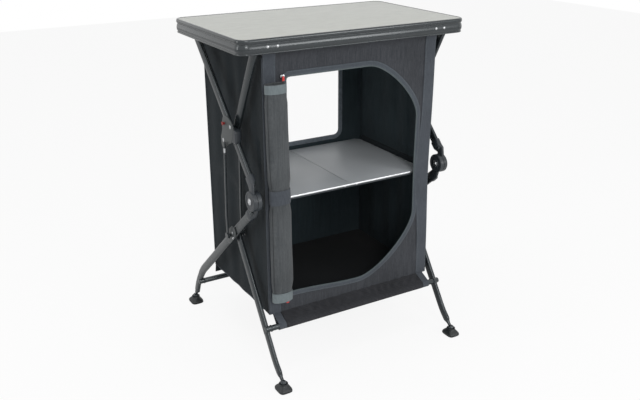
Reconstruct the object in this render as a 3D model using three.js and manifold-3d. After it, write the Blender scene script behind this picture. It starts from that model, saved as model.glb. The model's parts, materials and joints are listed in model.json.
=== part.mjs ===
// Folding camping cupboard: fabric cabinet in an aluminium scissor frame with a laminate worktop.
// Millimetres, +X right, -Y front, +Z up. The origin is on the ground under the worktop's centre.
import * as THREE from "three";
import { mergeVertices } from "three/addons/utils/BufferGeometryUtils.js";
import Module from "manifold-3d";

const wasm = await Module();
wasm.setup();

// Driving dimensions
const fit = 0.3; // running gap between neighbouring pieces
const overrun = 4; // how far a cutting tool passes a face
const worktop = { width: 660, depth: 415, height: 900, corner: 28, board: 9, sunk: 0.8 };
const rim = { height: 37, wall: 6, ledge: 9, ledgeThick: 5 };
const tube = { width: 25, thick: 12.6, edge: 4, inset: 40, layerGap: 0.4, bendRadius: 26 };
const bar = { radius: 8, lug: 12, cap: 1, drop: 28, frontInset: 29.5, rearInset: 47.5 };
const rod = { thick: 5.4, edge: 1.8, outerClear: 0.5, innerClear: 0.9, eye: 8.5 };
const pin = { radius: 4, head: 9, headThick: 2.2 };
const footReach = 284; // ball centre of a foot, in front of and behind the centre
const foot = {
  ball: 9, ballZ: 20, stem: 5, width: 38, length: 46, base: 9, cup: 15, cupTop: 22, corner: 9, edge: 1.2,
  lip: 2, play: 0.7,
};
const knuckle = { radius: 26, thick: 24, split: 0.8, edge: 1, socketWall: 2.6, socketLength: 34, web: 16 };
const hub = { clear: 0.7, plateThick: 5, rivet: 4.5, rivetThick: 1.2, size: 50, edge: 1 };
const crossPlate = { clear: 0.5, plateThick: 3, length: 74, width: 34, rivet: 4, rivetThick: 1 };
const button = { radius: 3.6, cap: 5.5, edge: 0.5, seat: 1, stand: 6, travel: 4, back: 19, rise: 14 };

// The middle of each tube layer, from the centre plane
const outerLayer = worktop.width / 2 - tube.inset;
const innerLayer = outerLayer - tube.thick - tube.layerGap;
const tubeFace = outerLayer + tube.thick / 2;

// Points of the side frame, in the plane of the side: y, z. Upper places are shares of the worktop's depth
// and lower ones of the feet's reach, and heights are shares of the top bars' height.
const topBarZ = worktop.height - bar.drop;
const upperPlace = ([yShare, zShare]) => [yShare * worktop.depth, zShare * topBarZ];
const lowerPlace = ([yShare, zShare]) => [yShare * footReach, zShare * topBarZ];
const frameShares = {
  hub: [-0.1373, 0.7454],
  knuckle: [-0.4145, 0.5665],
  cross: [-0.0916, 0.4048],
  strutBend: [-0.0675, 0.4644],
  strutTop: [-0.0916, 0.7018],
};
const groundShares = { frontLowBar: [-0.7113, 0.1594], rearLowBar: [0.8028, 0.1089] };
const rearLegShares = [[0.7359, 0.1617], [0.8768, 0.0986], [0.9296, 0.0596]];
const frontLegShares = [[-0.8486, 0.0688], [-0.9155, 0.0482]];
const hubAt = upperPlace(frameShares.hub);
const knuckleAt = upperPlace(frameShares.knuckle);
const crossAt = upperPlace(frameShares.cross);
const rearTopBarAt = [worktop.depth / 2 - bar.rearInset, topBarZ];
const frontTopBarAt = [-worktop.depth / 2 + bar.frontInset, topBarZ];
const strutBendAt = upperPlace(frameShares.strutBend);
const strutTopAt = upperPlace(frameShares.strutTop);
const frontLowBarAt = lowerPlace(groundShares.frontLowBar);
const rearLowBarAt = lowerPlace(groundShares.rearLowBar);
const rearLegBends = rearLegShares.map(lowerPlace);
const frontLegBends = frontLegShares.map(lowerPlace);
const buttonAt = [hubAt[0] + button.back, hubAt[1] + button.rise];

// The fabric cabinet hangs between the side frames
const cloth = 2; // fabric thickness
const cabinet = { sideGap: 20, frontInset: 33.5, rearInset: 23.5, topDrop: 65, aboveBar: 25, sideRise: 14 };
const halfWidth = innerLayer - cabinet.sideGap;
const frontY = -worktop.depth / 2 + cabinet.frontInset;
const rearY = worktop.depth / 2 - cabinet.rearInset;
const floorZ = frontLowBarAt[1] + cabinet.aboveBar;
const topZ = worktop.height - cabinet.topDrop;

const shelf = {
  sideClear: 7, frontInset: 9, rearInset: 8, levelShare: 0.4769, thick: 6.5, corner: 14, joint: 1,
};
const shelfTop = floorZ + shelf.levelShare * (topZ - floorZ);
const shelfBottom = shelfTop - shelf.thick;
const trim = { height: 10, thick: 1.6 };
const sling = { endInset: 16 };
const floor = { thick: 4 };

const door = { leftInset: 62, rightInset: 52, bottomInset: 38, topInset: 37, corner: 9 };
const doorCurve = { topWide: 159, topHigh: 154, lowWide: 184, lowHigh: 170, pullShare: 0.36 };
const doorLeft = -halfWidth + door.leftInset;
const doorRight = halfWidth - door.rightInset;
const doorBottom = floorZ + door.bottomInset;
const doorTop = topZ - door.topInset;
const binding = { width: 13, thick: 1.5 };
const rearWindow = { sideInset: 83, aboveShelf: 23, topInset: 35, corner: 16 };
const webbing = { width: 34, thick: 1.5, inset: 6 };
const sleeve = { clear: 0.5, endInset: 33, topEndInset: 3 };

const roll = { width: 62, depthShare: 0.5, endInset: 51, waist: 4 };
const strap = { thick: 1.5, clear: 0.4, topInset: 2, belowShelf: 3, lowInset: 4 };
const strapHeights = { top: 22, middle: 38, low: 26 };
const slider = { before: 10, above: 2, width: 12, height: 9, thick: 4, edge: 1.2, corner: 2 };
const pull = { width: 7, length: 12, thick: 1.8, corner: 2, clear: 0.6 };
const clip = { inset: 90, width: 30, wall: 5.5, edge: 0.8, lift: 3 };
const bracket = {
  inset: 86, width: 50, thick: 3.4, corner: 3, lift: 3, rivetSpacing: 26, rivet: 3.4, rivetHead: 1.2,
};

// Facets of the round shapes
const roundSides = 10;
const barSides = 14;
const rivetSides = 8;
const knuckleSides = 20;
const rollSides = 16;
const ballSteps = 8;
const capSteps = 6; // facets of a band's round end
const bendSteps = 3; // facets of a softened bend
const splineSteps = 2; // facets between two points of the hub's outline
const doorSteps = 9; // facets of each long curve of the doorway
const doorCornerSteps = 3;
const cornerFineness = 0.6; // facets of a rounded corner, per root of its radius
const weldReach = 1e-3; // points this close are one

// Finishes
const finishes = {
  laminate: [0xbcbeb9, 0.55, 0],
  rimPlastic: [0x4b5252, 0.5, 0.2],
  tubeMetal: [0x55595c, 0.42, 0.7],
  brightMetal: [0xc8cacc, 0.3, 0.9],
  darkPlastic: [0x24282b, 0.55, 0],
  frontFabric: [0x424246, 0.95, 0],
  sideFabric: [0x303135, 0.95, 0],
  webbing: [0x4a5058, 0.85, 0],
  shelfBoard: [0x96989a, 0.5, 0],
  rubber: [0x202224, 0.9, 0],
  red: [0xc82828, 0.45, 0],
};
const materials = Object.fromEntries(
  Object.entries(finishes).map(([name, [color, roughness, metalness]]) => [
    name,
    new THREE.MeshStandardMaterial({ color, roughness, metalness }),
  ]),
);

const cupboard = new THREE.Group();

function add(name, material, geometry) {
  const mesh = new THREE.Mesh(geometry, materials[material]);
  mesh.name = name;
  cupboard.add(mesh);
  return mesh;
}

// Booleans
function solidOf(geometry) {
  const loose = geometry.index ? geometry.toNonIndexed() : geometry;
  const bare = new THREE.BufferGeometry();
  bare.setAttribute("position", loose.getAttribute("position"));
  const merged = mergeVertices(bare, weldReach);
  return new wasm.Manifold(
    new wasm.Mesh({
      numProp: 3,
      vertProperties: merged.attributes.position.array,
      triVerts: new Uint32Array(merged.index.array),
    }),
  );
}

function geometryOf(solid) {
  const mesh = solid.getMesh();
  const geometry = new THREE.BufferGeometry();
  geometry.setAttribute("position", new THREE.BufferAttribute(mesh.vertProperties, 3));
  geometry.setIndex(new THREE.BufferAttribute(mesh.triVerts, 1));
  return geometry;
}

function carve({ join, cut = [] }) {
  const [first, ...others] = join.map(solidOf);
  const body = others.reduce((whole, piece) => whole.add(piece), first);
  return geometryOf(cut.map(solidOf).reduce((whole, tool) => whole.subtract(tool), body));
}

// Extrusions. A shape in the side plane is drawn in (y, z), one in the front plane in (x, z).
function extrude(shape, depth, edge, edgeSteps) {
  return new THREE.ExtrudeGeometry(shape, {
    depth: depth - 2 * edge,
    bevelEnabled: edge > 0,
    bevelThickness: edge,
    bevelSize: edge,
    bevelOffset: -edge,
    bevelSegments: edgeSteps,
  }).translate(0, 0, edge);
}

function alongX(shape, xa, xb, edge = 0, edgeSteps = 1) {
  const low = Math.min(xa, xb);
  const turn = new THREE.Matrix4().makeBasis(
    new THREE.Vector3(0, 1, 0),
    new THREE.Vector3(0, 0, 1),
    new THREE.Vector3(1, 0, 0),
  );
  return extrude(shape, Math.abs(xb - xa), edge, edgeSteps).applyMatrix4(turn).translate(low, 0, 0);
}

function alongY(shape, ya, yb, edge = 0) {
  return extrude(shape, Math.abs(yb - ya), edge, 1).rotateX(Math.PI / 2).translate(0, Math.max(ya, yb), 0);
}

function alongZ(shape, za, zb, edge = 0) {
  return extrude(shape, Math.abs(zb - za), edge, 1).translate(0, 0, Math.min(za, zb));
}

function polygon(points) {
  return new THREE.Shape(points.map(([u, v]) => new THREE.Vector2(u, v)));
}

function oval([u, v], radiusU, radiusV, sides) {
  return polygon(Array.from({ length: sides }, (_, i) => {
    const angle = (2 * Math.PI * i) / sides;
    return [u + radiusU * Math.cos(angle), v + radiusV * Math.sin(angle)];
  }));
}

function disc(at, radius, sides = roundSides) {
  return oval(at, radius, radius, sides);
}

function frameOf(u0, u1, v0, v1) {
  return polygon([[u0, v0], [u1, v0], [u1, v1], [u0, v1]]);
}

// A rectangle whose corners have their own radii, counter-clockwise from the lower right.
function rounded(u0, u1, v0, v1, lowRight, highRight = lowRight, highLeft = lowRight, lowLeft = lowRight) {
  const corners = [
    [u1 - lowRight, v0 + lowRight, lowRight],
    [u1 - highRight, v1 - highRight, highRight],
    [u0 + highLeft, v1 - highLeft, highLeft],
    [u0 + lowLeft, v0 + lowLeft, lowLeft],
  ];
  return polygon(corners.flatMap(([u, v, radius], corner) => {
    const steps = 1 + Math.ceil(cornerFineness * Math.sqrt(radius));
    return Array.from({ length: steps + 1 }, (_, i) => {
      const angle = (Math.PI / 2) * (corner - 1 + i / steps);
      return [u + radius * Math.cos(angle), v + radius * Math.sin(angle)];
    });
  }));
}

function withHoles(shape, ...holes) {
  shape.holes.push(...holes);
  return shape;
}

const plus = ([a, b], [c, d]) => [a + c, b + d];
const minus = ([a, b], [c, d]) => [a - c, b - d];
const times = ([a, b], k) => [a * k, b * k];
const dot = ([a, b], [c, d]) => a * c + b * d;
const unit = (v) => times(v, 1 / Math.hypot(...v));
const square = ([a, b]) => [-b, a];

// A path whose inner corners are rounded by short curves.
function softened(points, reach) {
  const soft = [points[0]];
  for (let i = 1; i < points.length - 1; i++) {
    const [before, corner, after] = points.slice(i - 1, i + 2);
    const back = Math.min(reach, Math.hypot(...minus(before, corner)) / 2);
    const ahead = Math.min(reach, Math.hypot(...minus(after, corner)) / 2);
    const curve = new THREE.QuadraticBezierCurve(
      new THREE.Vector2(...plus(corner, times(unit(minus(before, corner)), back))),
      new THREE.Vector2(...corner),
      new THREE.Vector2(...plus(corner, times(unit(minus(after, corner)), ahead))),
    );
    soft.push(...curve.getPoints(bendSteps).map((p) => [p.x, p.y]));
  }
  soft.push(points.at(-1));
  return soft.filter((p, i) => i === 0 || Math.hypot(...minus(p, soft[i - 1])) > fit);
}

// The outline of a band of one width along a path, with round ends.
function band(points, width) {
  const half = width / 2;
  const sideways = points.map((point, i) => {
    const into = unit(minus(point, points[Math.max(i - 1, 0)]));
    const along = i === 0 ? unit(minus(points[1], point)) : into;
    const out = i === points.length - 1 ? along : unit(minus(points[i + 1], point));
    const mean = unit(plus(along, out));
    return times(square(mean), half / dot(mean, along));
  });
  const left = points.map((point, i) => plus(point, sideways[i]));
  const right = points.map((point, i) => minus(point, sideways[i])).reverse();
  const cap = (centre, from) => {
    const start = Math.atan2(from[1] - centre[1], from[0] - centre[0]);
    return Array.from({ length: capSteps - 1 }, (_, k) => {
      const angle = start - ((k + 1) * Math.PI) / capSteps;
      return plus(centre, times([Math.cos(angle), Math.sin(angle)], half));
    });
  };
  const outline = [...left, ...cap(points.at(-1), left.at(-1)), ...right, ...cap(points[0], right.at(-1))];
  return polygon(outline.reverse());
}

// Lines of the side frame
const legRun = unit(minus(rearLegBends[0], crossAt)); // down the long rear leg
const longRun = unit(minus(rearTopBarAt, hubAt)); // up the long upper tube
const knuckleGap = knuckle.radius + knuckle.edge + fit + tube.width / 2; // from a round tube end to the disc

function footOnLine(point, through, run) {
  return plus(through, times(run, dot(minus(point, through), run)));
}
const legStart = plus(footOnLine(knuckleAt, crossAt, legRun), times(legRun, knuckleGap));
const longStart = plus(footOnLine(knuckleAt, hubAt, longRun), times(longRun, knuckleGap));

// Places across the side frames, from the centre plane
const knuckleInnerX = outerLayer - knuckle.thick / 2;
const knuckleOuterX = outerLayer + knuckle.thick / 2;
const hubPlateX = tubeFace + hub.clear;
const hubFace = hubPlateX + hub.plateThick;
const crossPlateX = tubeFace + crossPlate.clear;
const outerRodX = hubFace + hub.rivetThick + rod.outerClear + rod.thick / 2;
const washerX = innerLayer - tube.thick / 2 - fit - pin.headThick;
const innerRodX = washerX - rod.innerClear - rod.thick / 2;

const layerFaces = (middle, side) => [side * (middle - tube.thick / 2), side * (middle + tube.thick / 2)];
const hole = (at, radius, sides) => disc(at, radius + fit, sides);

function flatTube(path, middle, side) {
  return alongX(band(path, tube.width), ...layerFaces(middle, side), tube.edge, 2);
}

function drilledTube(path, middle, side, holes) {
  const [inner, outer] = layerFaces(middle, side);
  return carve({
    join: [flatTube(path, middle, side)],
    cut: holes.map((shape) => alongX(shape, inner - side * overrun, outer + side * overrun)),
  });
}

// A lug beside a tube that holds the end of a round bar.
function barLug(at, middle, side) {
  return alongX(disc(at, bar.lug, barSides), ...layerFaces(middle, side), fit);
}

// Front and rear legs, each with the ball of its foot
function ballEnd(path, x, ballY) {
  const from = new THREE.Vector3(x, ...path.at(-1));
  const to = new THREE.Vector3(x, ballY, foot.ballZ);
  const stem = new THREE.CylinderGeometry(foot.stem, foot.stem, from.distanceTo(to), ballSteps);
  stem.applyQuaternion(
    new THREE.Quaternion().setFromUnitVectors(new THREE.Vector3(0, 1, 0), to.clone().sub(from).normalize()),
  );
  stem.translate(...from.clone().lerp(to, 0.5).toArray());
  const ball = new THREE.SphereGeometry(foot.ball, ballSteps, ballSteps / 2).translate(x, ballY, foot.ballZ);
  return [stem, ball];
}

function leg(path, middle, side, lugAt, ballY, holeAt) {
  const faces = layerFaces(middle, side);
  return carve({
    join: [
      flatTube(path, middle, side),
      barLug(lugAt, middle, side),
      ...ballEnd(path, side * middle, ballY),
    ],
    cut: [
      alongX(hole(lugAt, bar.radius, barSides), faces[0] - side * overrun, faces[1] + side * overrun),
      alongX(hole(holeAt, pin.radius), faces[0] - side * overrun, faces[1] + side * overrun),
    ],
  });
}

const rearLegPath = softened([legStart, ...rearLegBends], tube.bendRadius);
const frontLegPath = softened([crossAt, ...frontLegBends], tube.bendRadius);

// The plastic knuckle: two discs side by side, each with a socket for one tube
function knuckleHalf(side, xa, xb, start, run) {
  const back = plus(start, times(run, -tube.width / 2 + fit));
  const front = plus(start, times(run, knuckle.socketLength - tube.width / 2));
  const out = times(square(run), tube.width / 2 + knuckle.socketWall);
  const socket = polygon([minus(back, out), minus(front, out), plus(front, out), plus(back, out)]);
  const half = tube.thick / 2 + knuckle.socketWall;
  const faces = [side * (outerLayer - half), side * (outerLayer + half)];
  const path = [start, plus(start, times(run, knuckle.socketLength + overrun))];
  const tubeHalf = tube.thick / 2 + fit;
  return carve({
    join: [
      alongX(disc(knuckleAt, knuckle.radius, knuckleSides), side * xa, side * xb, knuckle.edge),
      alongX(band([knuckleAt, start], knuckle.web), side * xa, side * xb),
      alongX(socket, ...faces, knuckle.edge),
    ],
    cut: [
      alongX(band(path, tube.width + 2 * fit), side * (outerLayer - tubeHalf), side * (outerLayer + tubeHalf)),
      alongX(hole(knuckleAt, pin.radius), side * (xa - overrun), side * (xb + overrun)),
    ],
  });
}

// A pin with a head at each end, along X
function headedPin(at, side, xa, xb) {
  return carve({
    join: [
      alongX(disc(at, pin.radius), side * xa, side * xb),
      alongX(disc(at, pin.head), side * xa, side * (xa + pin.headThick), fit),
      alongX(disc(at, pin.head), side * (xb - pin.headThick), side * xb, fit),
    ],
  });
}

// The hub's cover plate: a flame-like outline given in shares of the hub's size, round its pivot
const hubOutlineShares = [
  [-0.58, 0.1], [-0.4, 0.52], [0.14, 0.7], [0.62, 0.4], [0.86, -0.12],
  [1.22, -0.5], [1.08, -0.98], [0.62, -0.9], [0.2, -0.68], [-0.3, -0.46],
];
const hubRivetShares = [[-0.1, 0.3], [0.9, -0.68]];

function hubPlate(side) {
  const place = ([u, v]) => plus(hubAt, times([u, v], hub.size));
  const outline = new THREE.SplineCurve(
    [...hubOutlineShares, hubOutlineShares[0]].map((share) => new THREE.Vector2(...place(share))),
  );
  const outlinePoints = outline.getPoints(hubOutlineShares.length * splineSteps).slice(0, -1);
  const shape = new THREE.Shape(outlinePoints.reverse());
  return carve({
    join: [
      alongX(shape, side * hubPlateX, side * hubFace, hub.edge),
      ...hubRivetShares.map((share) =>
        alongX(disc(place(share), hub.rivet), side * (hubFace - fit), side * (hubFace + hub.rivetThick), fit),
      ),
      alongX(disc(hubAt, pin.radius), side * washerX, side * (hubPlateX + fit)),
      alongX(disc(hubAt, pin.head), side * washerX, side * (washerX + pin.headThick), fit),
    ],
    cut: [
      alongX(hole(buttonAt, button.radius), side * (hubPlateX - overrun), side * (hubFace + overrun)),
    ],
  });
}

// The plate that covers the lower crossing, with two rivets, along the rear leg
function crossCover(side) {
  const reach = times(legRun, (crossPlate.length - crossPlate.width) / 2);
  const outerX = crossPlateX + crossPlate.plateThick;
  return carve({
    join: [
      alongX(
        band([minus(crossAt, reach), plus(crossAt, reach)], crossPlate.width),
        side * crossPlateX,
        side * outerX,
        fit,
      ),
      ...[minus(crossAt, reach), plus(crossAt, reach)].map((at) =>
        alongX(disc(at, crossPlate.rivet), side * (outerX - fit), side * (outerX + crossPlate.rivetThick), fit),
      ),
    ],
    cut: [
      alongX(hole(crossAt, pin.radius), side * (crossPlateX - overrun), side * (outerX + overrun)),
    ],
  });
}

function strutRod(side, x) {
  const faces = [side * (x - rod.thick / 2), side * (x + rod.thick / 2)];
  return carve({
    join: [
      alongX(band(softened([crossAt, strutBendAt, strutTopAt], tube.bendRadius), rod.thick), ...faces, rod.edge),
      alongX(disc(crossAt, rod.eye), ...faces, fit),
    ],
    cut: [alongX(hole(crossAt, pin.radius), faces[0] - side * overrun, faces[1] + side * overrun)],
  });
}

function footPad(side, x, y) {
  const [halfWidth, halfLength] = [foot.width / 2, foot.length / 2];
  const plate = rounded(-halfWidth, halfWidth, -halfLength, halfLength, foot.corner);
  const bore = new THREE.SphereGeometry(foot.ball + foot.play, ballSteps, ballSteps / 2);
  bore.translate(0, 0, foot.ballZ);
  const rise = foot.cupTop - foot.ballZ + fit;
  const mouth = new THREE.CylinderGeometry(foot.cup - foot.lip, foot.ball + foot.play, rise, ballSteps);
  mouth.rotateX(Math.PI / 2).translate(0, 0, foot.ballZ + rise / 2);
  return carve({
    join: [
      alongZ(plate, 0, foot.base, foot.edge),
      alongZ(disc([0, 0], foot.cup), foot.base / 2, foot.cupTop, foot.edge),
    ],
    cut: [bore, mouth],
  }).translate(side * x, y, 0);
}

// The side frames
const pinOuterX = outerRodX + rod.thick / 2 + fit + pin.headThick;
for (const [side, label] of [[-1, "left"], [1, "right"]]) {
  add(`rear_leg_${label}`, "tubeMetal", leg(rearLegPath, outerLayer, side, rearLowBarAt, footReach, crossAt));
  add(`front_leg_${label}`, "tubeMetal", leg(frontLegPath, innerLayer, side, frontLowBarAt, -footReach, crossAt));
  add(`long_tube_${label}`, "tubeMetal", drilledTube([longStart, rearTopBarAt], outerLayer, side,
    [hole(hubAt, pin.radius), hole(rearTopBarAt, bar.radius, barSides)]));
  add(`short_tube_${label}`, "tubeMetal", drilledTube([hubAt, frontTopBarAt], innerLayer, side,
    [hole(hubAt, pin.radius), hole(frontTopBarAt, bar.radius, barSides)]));
  add(`knuckle_lower_${label}`, "darkPlastic",
    knuckleHalf(side, knuckleInnerX, outerLayer - knuckle.split / 2, legStart, legRun));
  add(`knuckle_upper_${label}`, "darkPlastic",
    knuckleHalf(side, outerLayer + knuckle.split / 2, knuckleOuterX, longStart, longRun));
  add(`knuckle_pin_${label}`, "brightMetal", headedPin(knuckleAt, side,
    knuckleInnerX - fit - pin.headThick, knuckleOuterX + fit + pin.headThick));
  add(`hub_plate_${label}`, "darkPlastic", hubPlate(side));
  add(`cross_plate_${label}`, "darkPlastic", crossCover(side));
  add(`cross_pin_${label}`, "brightMetal", headedPin(crossAt, side, halfWidth + fit, pinOuterX));
  add(`strut_outer_${label}`, "tubeMetal", strutRod(side, outerRodX));
  add(`strut_inner_${label}`, "tubeMetal", strutRod(side, innerRodX));
  add(`latch_button_${label}`, "red", carve({
    join: [
      alongX(disc(buttonAt, button.radius), side * (hubFace - button.seat), side * (hubFace + button.stand)),
      alongX(disc(buttonAt, button.cap), side * (hubFace + button.travel + fit),
        side * (hubFace + button.stand + fit), button.edge),
    ],
  }));
  add(`foot_front_${label}`, "rubber", footPad(side, innerLayer, -footReach));
  add(`foot_rear_${label}`, "rubber", footPad(side, outerLayer, footReach));
}

// The four cross bars
function crossBar(name, at, middle) {
  const end = middle + tube.thick / 2 + bar.cap;
  add(name, "tubeMetal", alongX(disc(at, bar.radius, barSides), -end, end, bar.cap));
}
crossBar("rear_top_bar", rearTopBarAt, outerLayer);
crossBar("front_top_bar", frontTopBarAt, innerLayer);
crossBar("front_bottom_bar", frontLowBarAt, innerLayer);
crossBar("rear_bottom_bar", rearLowBarAt, outerLayer);

// The worktop
function tabletopOutline(inset) {
  const [halfWidth, halfDepth] = [worktop.width / 2 - inset, worktop.depth / 2 - inset];
  return rounded(-halfWidth, halfWidth, -halfDepth, halfDepth, worktop.corner - inset);
}
const boardTop = worktop.height - worktop.sunk;
const boardBottom = boardTop - worktop.board;
const rimBottom = worktop.height - rim.height;
const rimFrontInside = -worktop.depth / 2 + rim.wall;
const ledgeTop = boardBottom - fit;
const bracketBottom = rimBottom + bracket.lift;
const rivetZ = (bracketBottom + ledgeTop - rim.ledgeThick) / 2;
const bracketX = worktop.width / 2 - bracket.inset;

add("tabletop_board", "laminate", alongZ(tabletopOutline(rim.wall + fit), boardBottom, boardTop));

const rivetPlaces = [-1, 1].flatMap((side) =>
  [-1, 1].map((end) => [side * bracketX + (end * bracket.rivetSpacing) / 2, rivetZ]),
);
add("tabletop_rim", "rimPlastic", carve({
  join: [
    alongZ(withHoles(tabletopOutline(0), tabletopOutline(rim.wall)), rimBottom, worktop.height),
    alongZ(
      withHoles(tabletopOutline(rim.wall / 2), tabletopOutline(rim.ledge)),
      ledgeTop - rim.ledgeThick, ledgeTop,
    ),
  ],
  cut: rivetPlaces.map((at) => alongY(
    hole(at, bracket.rivet / 2, rivetSides), rimFrontInside + overrun, -worktop.depth / 2 - overrun,
  )),
}));

const clipX = outerLayer - clip.inset;
const clipBottom = rimBottom + clip.lift;

for (const [side, label] of [[-1, "left"], [1, "right"]]) {
  const x = side * bracketX;
  const face = rimFrontInside + fit;
  const outside = -worktop.depth / 2;
  const rivets = rivetPlaces.filter(([u]) => u * side > 0);
  add(`front_bracket_${label}`, "brightMetal", carve({
    join: [
      alongY(
        rounded(x - bracket.width / 2, x + bracket.width / 2, bracketBottom,
          ledgeTop - rim.ledgeThick - fit, bracket.corner),
        face, face + bracket.thick,
      ),
      ...rivets.map((at) => alongY(disc(at, bracket.rivet / 2, rivetSides), face + fit, outside - fit - fit)),
      ...rivets.map((at) => alongY(disc(at, bracket.rivet), outside - fit, outside - bracket.rivetHead, fit)),
    ],
  }));
  const [y, z] = rearTopBarAt;
  const halfClip = bar.radius + clip.wall;
  add(`rear_clip_${label}`, "darkPlastic", carve({
    join: [alongX(frameOf(y - halfClip, y + halfClip, clipBottom, boardBottom - fit),
      side * (clipX - clip.width / 2), side * (clipX + clip.width / 2), clip.edge)],
    cut: [
      alongX(hole(rearTopBarAt, bar.radius, barSides), side * (clipX - clip.width), side * (clipX + clip.width)),
      alongX(frameOf(y - bar.radius - fit, y + bar.radius + fit, clipBottom - overrun, z),
        side * (clipX - clip.width), side * (clipX + clip.width)),
    ],
  }));
}

// The fabric cabinet
const inside = halfWidth - cloth;
for (const [side, label] of [[-1, "left"], [1, "right"]]) {
  add(`${label}_side_panel`, "sideFabric", alongX(
    frameOf(frontY + cloth + fit, rearY - cloth - fit, floorZ, topZ + cabinet.sideRise),
    side * inside, side * halfWidth,
  ));
}

// A sheet that runs from the panel's edge to a sleeve round a bar
function sleeveOn(at, from, halfLength) {
  const inner = bar.radius + sleeve.clear;
  const away = unit(minus(from, at));
  const seat = plus(at, times(away, inner + cloth / 2));
  return {
    join: [
      alongX(disc(at, inner + cloth, barSides), -halfLength, halfLength),
      alongX(band([from, seat], cloth), -halfLength, halfLength),
    ],
    cut: [alongX(disc(at, inner, barSides), -halfLength - overrun, halfLength + overrun)],
  };
}

// A header strip that ends just under a top bar
function header(at, from, halfLength) {
  const away = unit(minus(from, at));
  const end = plus(at, times(away, bar.radius + fit + cloth / 2));
  return alongX(band([from, end], cloth), -halfLength, halfLength);
}

// The doorway is D-shaped: two long curves on the right, and two tight corners on the left. An outline that
// grows keeps one distance from the doorway's edge.
function doorway(grow) {
  const long = (from, corner, to) => {
    const curve = new THREE.CubicBezierCurve(
      from, from.clone().lerp(corner, doorCurve.pullShare), to.clone().lerp(corner, doorCurve.pullShare), to,
    );
    return Array.from({ length: doorSteps + 1 }, (_, i) => {
      const at = curve.getPoint(i / doorSteps);
      const along = curve.getTangent(i / doorSteps);
      return [at.x + grow * along.y, at.y - grow * along.x];
    });
  };
  const tight = (u, v, quarter) => Array.from({ length: doorCornerSteps + 1 }, (_, i) => {
    const angle = (Math.PI / 2) * (quarter + i / doorCornerSteps);
    return plus([u, v], times([Math.cos(angle), Math.sin(angle)], door.corner + grow));
  });
  const at = (u, v) => new THREE.Vector2(u, v);
  return polygon([
    ...long(at(doorRight - doorCurve.lowWide, doorBottom), at(doorRight, doorBottom),
      at(doorRight, doorBottom + doorCurve.lowHigh)),
    ...long(at(doorRight, doorTop - doorCurve.topHigh), at(doorRight, doorTop),
      at(doorRight - doorCurve.topWide, doorTop)),
    ...tight(doorLeft + door.corner, doorTop - door.corner, 1),
    ...tight(doorLeft + door.corner, doorBottom + door.corner, 2),
  ]);
}
const windowHalf = halfWidth - rearWindow.sideInset;
const windowBottom = shelfTop + rearWindow.aboveShelf;
const windowTop = topZ - rearWindow.topInset;
const windowHole = (grow) => rounded(
  -windowHalf - grow, windowHalf + grow, windowBottom - grow, windowTop + grow, rearWindow.corner + grow,
);
const wholeFace = () => frameOf(-halfWidth, halfWidth, floorZ - cloth, topZ);

function clothFace(outerY, inwards, opening, topBarAt, lowBarAt) {
  const innerY = outerY + inwards * cloth;
  const middleY = (outerY + innerY) / 2;
  const low = sleeveOn(lowBarAt, [middleY, floorZ], halfWidth - sleeve.endInset);
  return carve({
    join: [
      alongY(withHoles(wholeFace(), opening), outerY, innerY),
      header(topBarAt, [middleY, topZ - cloth], halfWidth - sleeve.topEndInset),
      ...low.join,
    ],
    cut: low.cut,
  });
}
add("front_panel", "frontFabric", clothFace(frontY, 1, doorway(0), frontTopBarAt, frontLowBarAt));
add("rear_panel", "sideFabric", clothFace(rearY, -1, windowHole(0), rearTopBarAt, rearLowBarAt));

const floorInset = cloth + fit;
add("floor_panel", "sideFabric", alongZ(
  frameOf(-halfWidth + floorInset, halfWidth - floorInset,
    frontY + floorInset, rearY - floorInset),
  floorZ, floorZ + floor.thick,
));

const trackFrontY = frontY - fit - binding.thick;
add("door_zip_track", "webbing", alongY(
  withHoles(doorway(binding.width), doorway(0)), frontY - fit, trackFrontY,
));
const bindingRearY = rearY - cloth - fit;
add("window_binding", "webbing", alongY(
  withHoles(windowHole(binding.width), windowHole(0)), bindingRearY, bindingRearY - binding.thick,
));
for (const [side, label] of [[-1, "left"], [1, "right"]]) {
  add(`corner_webbing_${label}`, "webbing", alongY(
    frameOf(side * halfWidth, side * (halfWidth - webbing.width),
      floorZ + webbing.inset, topZ - webbing.inset),
    frontY - fit, frontY - fit - webbing.thick,
  ));
}

// The rolled-up door: an oval roll, drawn in where each strap holds it
const rollHalf = roll.width / 2;
const rollX = -halfWidth + rollHalf;
const rollBottom = floorZ + roll.endInset;
const rollTop = topZ - roll.endInset;
const straps = [
  { name: "roll_strap_top", z: rollTop - strap.topInset - strapHeights.top, height: strapHeights.top },
  { name: "roll_strap_middle", z: shelfTop - strap.belowShelf, height: strapHeights.middle },
  { name: "roll_strap_bottom", z: rollBottom + strap.lowInset, height: strapHeights.low },
];
const rollY = trackFrontY - fit - rollHalf * roll.depthShare;
function rollSolid() {
  const waists = straps.flatMap(({ z, height }) => [
    [rollHalf, z - height],
    [rollHalf - roll.waist, z],
    [rollHalf - roll.waist, z + height],
    [rollHalf, z + 2 * height],
  ]).filter(([, z]) => z > rollBottom && z < rollTop);
  const profile = [
    [0, rollBottom],
    [rollHalf - roll.waist, rollBottom],
    ...waists.sort((a, b) => a[1] - b[1]),
    [rollHalf - roll.waist, rollTop],
    [0, rollTop],
  ];
  return new THREE.LatheGeometry(profile.map(([r, z]) => new THREE.Vector2(r, z)), rollSides)
    .rotateX(Math.PI / 2)
    .scale(1, roll.depthShare, 1)
    .translate(rollX, rollY, 0);
}
add("door_roll", "frontFabric", rollSolid());

for (const { name, z, height } of straps) {
  const half = rollHalf - roll.waist + strap.clear;
  const loop = (grow) => oval([rollX, rollY], half + grow, half * roll.depthShare + grow, rollSides);
  add(name, "webbing", alongZ(withHoles(loop(strap.thick), loop(0)), z, z + height));
}

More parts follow.
